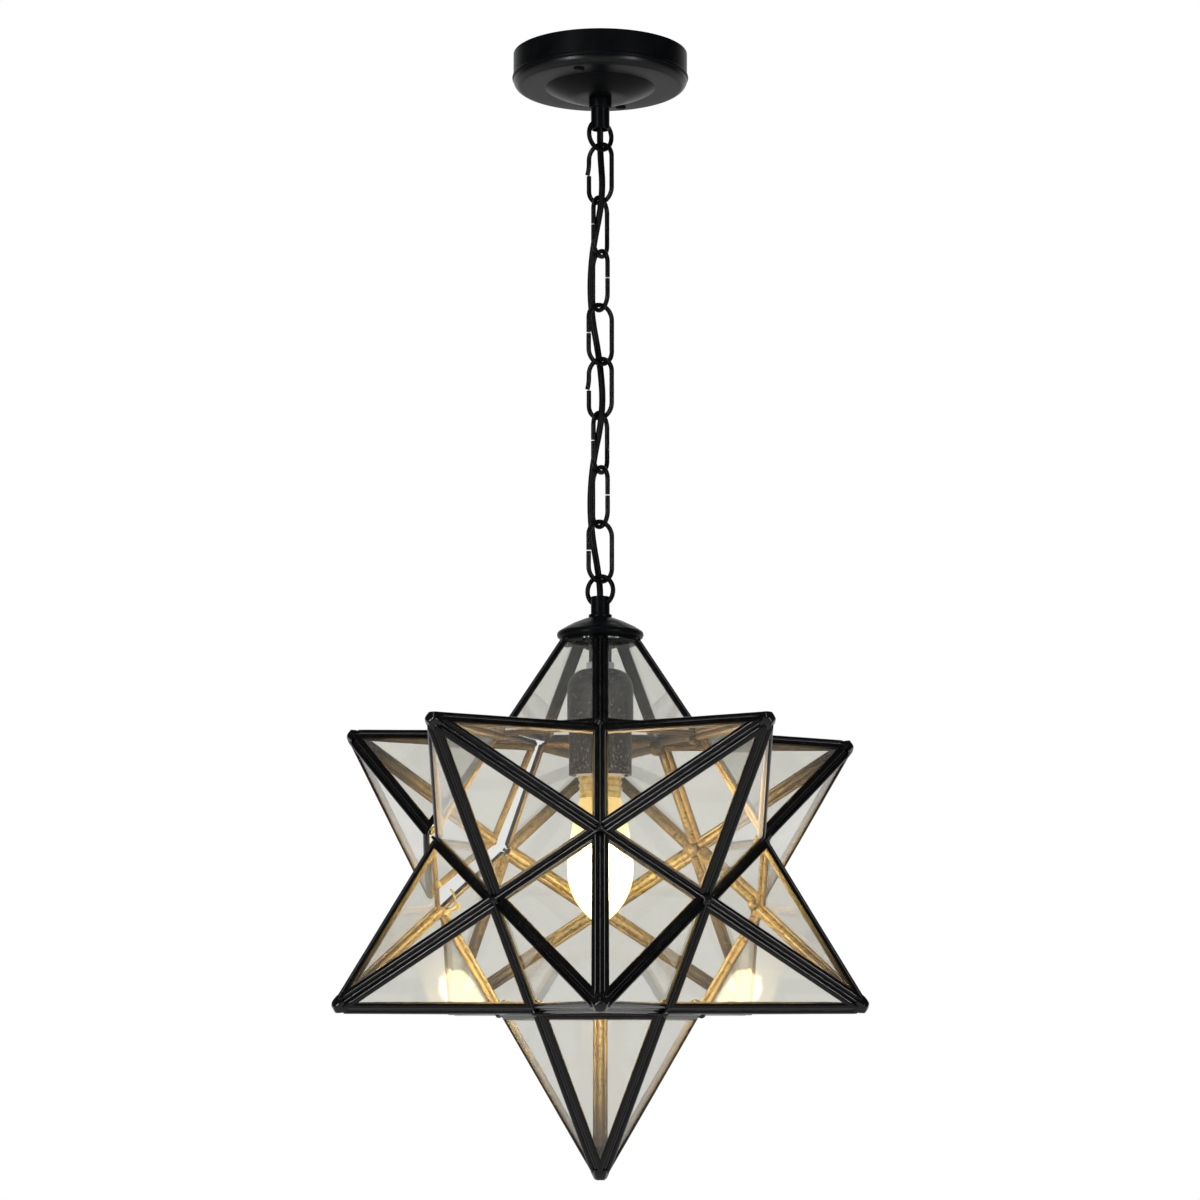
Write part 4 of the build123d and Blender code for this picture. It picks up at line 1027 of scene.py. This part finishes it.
# pale lip of the ceramic just inside the mouth
lip = {"inner": 13.45, "outer": 14.4, "above": 1.2, "below": 0.9, "ease": 0.3, "steps": 72, "sharp": 40.0}
lipTop, lipLow = mouth + lip["above"], mouth - lip["below"]
profile = [(lip["inner"], lipTop), (lip["outer"], lipTop), (lip["outer"], lipLow), (lip["inner"], lipLow)]
addTurned("socket_lip", eased(profile, lip["ease"]), lip, ceramicWhite, "star")

# Lamp's screw cap: thin brass with a rolled thread
cap = {"crest": 13.1, "threadDepth": 0.8, "pitch": 3.63, "turns": 6, "sheet": 0.7, "steps": 72, "rows": 10,
       "sharp": 60.0}
capLow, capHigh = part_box("bulb_cap")
capBase, capTop = capLow.z / mm, capHigh.z / mm
shape = bmesh.new()
rows = cap["turns"] * cap["rows"]
grid = []
for row in range(rows + 1):
    height = capTop + (capBase - capTop) * row / rows
    ends = min(1.0, row / cap["rows"], (rows - row) / cap["rows"])
    ring = []
    for step in range(cap["steps"]):
        turn = fullTurn * step / cap["steps"]
        wind = (height - capTop) / cap["pitch"] + step / cap["steps"]
        crest = 0.5 - 0.5 * math.cos(fullTurn * wind)
        radius = cap["crest"] - cap["threadDepth"] * (1 - crest * ends)
        ring.append(shape.verts.new((radius * math.cos(turn), radius * math.sin(turn), height)))
    grid.append(ring)
inner = cap["crest"] - cap["threadDepth"] - cap["sheet"]
for height in (capBase, capTop):
    grid.append([shape.verts.new(spot) for spot in ringPoints(inner, height, cap["steps"])])
skin(shape, grid, closed=True)
mesh = finishMesh("lamp_screw_cap", shape, brassTurned, cap["sharp"])
addPiece("lamp_screw_cap", mesh, "lamp", "bulb_cap")

# Lamp's glass: a candle shape, drawn in at its end; a bright envelope of the same shape hangs inside
bulb = {"neck": 12.4, "wide": 18.4, "waist": 41.0, "length": 73.0, "fullness": 19.0, "wall": 0.9,
        "neckSteps": 20, "endSteps": 24, "steps": 96, "sharp": 60.0}
glow = {"share": 0.58, "top": 25.0, "tip": 9.0, "crown": ((0, 6.0), (0.35, 5.2), (0.75, 2.8)), "steps": 64,
        "sharp": 80.0}


def lampLine(wall, share=1.0):
    # from the neck down to the tip: an arc that leaves the widest place upright, then a drawn-in end
    wide, neck = (bulb["wide"] - wall) * share, (bulb["neck"] - wall) * share
    middle = capBase - bulb["waist"]
    swell = ((wide - neck) ** 2 + bulb["waist"] ** 2) / (2 * (wide - neck))
    line = []
    for step in range(bulb["neckSteps"] + 1):
        rise = bulb["waist"] * (1 - step / bulb["neckSteps"])
        line.append((wide - swell + math.sqrt(swell**2 - rise**2), middle + rise))
    low = capBase - bulb["length"] + wall
    for step in range(1, bulb["endSteps"] + 1):
        t = step / bulb["endSteps"]
        line.append((wide * ((1 - t) ** 2 + 2 * t * (1 - t)),
                     middle * (1 - t) ** 2 + (middle - bulb["fullness"]) * 2 * t * (1 - t) + low * t**2))
    return line


profile = lampLine(0.0) + lampLine(bulb["wall"])[::-1]
addTurned("lamp_glass", profile, bulb, lampGlass, "lamp", "bulb_glass")
line = [(r, z) for r, z in lampLine(bulb["wall"], glow["share"]) if z < capBase - glow["top"]]
first, high = line[0]
low = line[-1][1]
line = [(r, z + glow["tip"] * ((high - z) / (high - low)) ** 2) for r, z in line]
line = [(first * share, high + rise) for share, rise in glow["crown"]] + line
addTurned("lamp_glow", line, glow, lampGlow, "lamp", closed=False)
print("lamp lit")

# What stays as the model has it, with its finish
finishes = (
    (zincPlate, ("mounting_strap", "earth_screw", "ceiling_nipple", "canopy_lock_washer", "canopy_nut",
                 "star_nipple", "star_nuts", "socket_terminal_screws")),
    (brassTurned, ("socket_shell", "socket_contact", "star_hinge_leaves", "door_hinge_leaves", "hinge_pin",
                   "latch_hook")),
    (paneGlass, ("crown_glass", "upper_glass", "lower_glass", "bottom_glass", "door_glass")),
    (nylonWhite, ("terminal_block",)), (cameBrass, ("crown_ring",)), (steelBlack, ("spacer_sleeve",)),
    (ceramicWhite, ("socket_body",)), (glassBlack, ("bulb_contact",)), (stemGlass, ("bulb_stem",)),
    (filamentGlow, ("bulb_filaments",)),
)
for finish, names in finishes:
    for name in names:
        for materialSlot in nodes[name].material_slots:
            materialSlot.material = finish
print("finishes on", sum(len(names) for finish, names in finishes), "parts")

# Studio: pale floor well below, white surroundings with a darker side behind the camera, soft lamps
studio = {"floor": -2.4, "floorSize": 8.0, "floorSeen": "#bcbcba", "floorMirrored": 0.35, "front": 0.05,
          "back": 1.0, "turn": (0.5, 0.95), "ambient": 0.5, "ambientColour": "#f7f8fa", "white": "#ffffff",
          "aim": (0, 0, -0.4),
          "lamps": {"keyLamp": ((-1.1, -1.4, -0.25), (0.1, 1.0), 18.0),
                    "fillLamp": ((1.15, -1.35, -0.3), (0.08, 0.9), 11.0),
                    "topLamp": ((-0.4, -0.9, 1.2), (0.5, 0.5), 6.0)}}
size = studio["floorSize"]
floorMesh = bpy.data.meshes.new("floor")
floorCorners = ((-size, -size), (size, -size), (size, size), (-size, size))
floorMesh.from_pydata([(x, y, studio["floor"]) for x, y in floorCorners], [], [(0, 1, 2, 3)])
# Paper: pale and dull, near white to the eye and to the glass, dimmer where the black mirrors it
floorPale = mottledFinish("paper_pale", ("#eeedea", "#f3f2f0"), (0.7, 0.85), patch=900.0, grain=4.0,
                          relief=0.02)
tree, shader, place = opened(floorPale)
rays = addNode(tree, "ShaderNodeLightPath").outputs
direct = addNode(tree, "ShaderNodeMath", {0: rays["Is Camera Ray"], 1: rays["Is Transmission Ray"]},
                 operation="MAXIMUM")
mirror = addNode(tree, "ShaderNodeMath", {0: rays["Is Glossy Ray"], 1: studio["floorMirrored"]},
                 operation="MULTIPLY")
seen = addNode(tree, "ShaderNodeMath", {0: direct, 1: mirror}, operation="MAXIMUM")
plug(tree, shader, {"Emission Strength": seen, "Emission Color": linear(studio["floorSeen"])})
floorMesh.materials.append(floorPale)
floor = addObject("floor", floorMesh)
for name, (place, width, power) in studio["lamps"].items():
    light = bpy.data.lights.new(name, "AREA")
    light.shape = "RECTANGLE"
    light.size, light.size_y = width
    light.energy = power
    lampObject = addObject(name, light)
    lampObject.location = place
    lampObject.rotation_euler = (Vector(studio["aim"]) - Vector(place)).to_track_quat("-Z", "Y").to_euler()
world = bpy.data.worlds.new("studio")
world.use_nodes = True
scene.world = world
tree = world.node_tree
tree.nodes.clear()
rays = addNode(tree, "ShaderNodeLightPath").outputs
around = addNode(tree, "ShaderNodeTexCoord").outputs["Generated"]
toward = addNode(tree, "ShaderNodeSeparateXYZ", {"Vector": around}).outputs["Y"]
bright = addNode(tree, "ShaderNodeMapRange", {"Value": toward, "From Min": studio["turn"][0],
                                              "From Max": studio["turn"][1], "To Min": studio["front"],
                                              "To Max": studio["back"]})
mirrored = addNode(tree, "ShaderNodeBackground", {"Color": linear(studio["white"]), "Strength": bright})
ambient = addNode(tree, "ShaderNodeBackground", {"Color": linear(studio["ambientColour"]),
                                                 "Strength": studio["ambient"]})
white = addNode(tree, "ShaderNodeBackground", {"Color": linear(studio["white"]), "Strength": 1.0})
lighting = addNode(tree, "ShaderNodeMixShader", {0: rays["Is Glossy Ray"], 1: ambient, 2: mirrored})
seen = addNode(tree, "ShaderNodeMath", {0: rays["Is Camera Ray"], 1: rays["Is Transmission Ray"]},
               operation="MAXIMUM")
whole = addNode(tree, "ShaderNodeMixShader", {0: seen, 1: lighting, 2: white})
addNode(tree, "ShaderNodeOutputWorld", {"Surface": whole})
print("studio set")

bpy.context.view_layer.update()
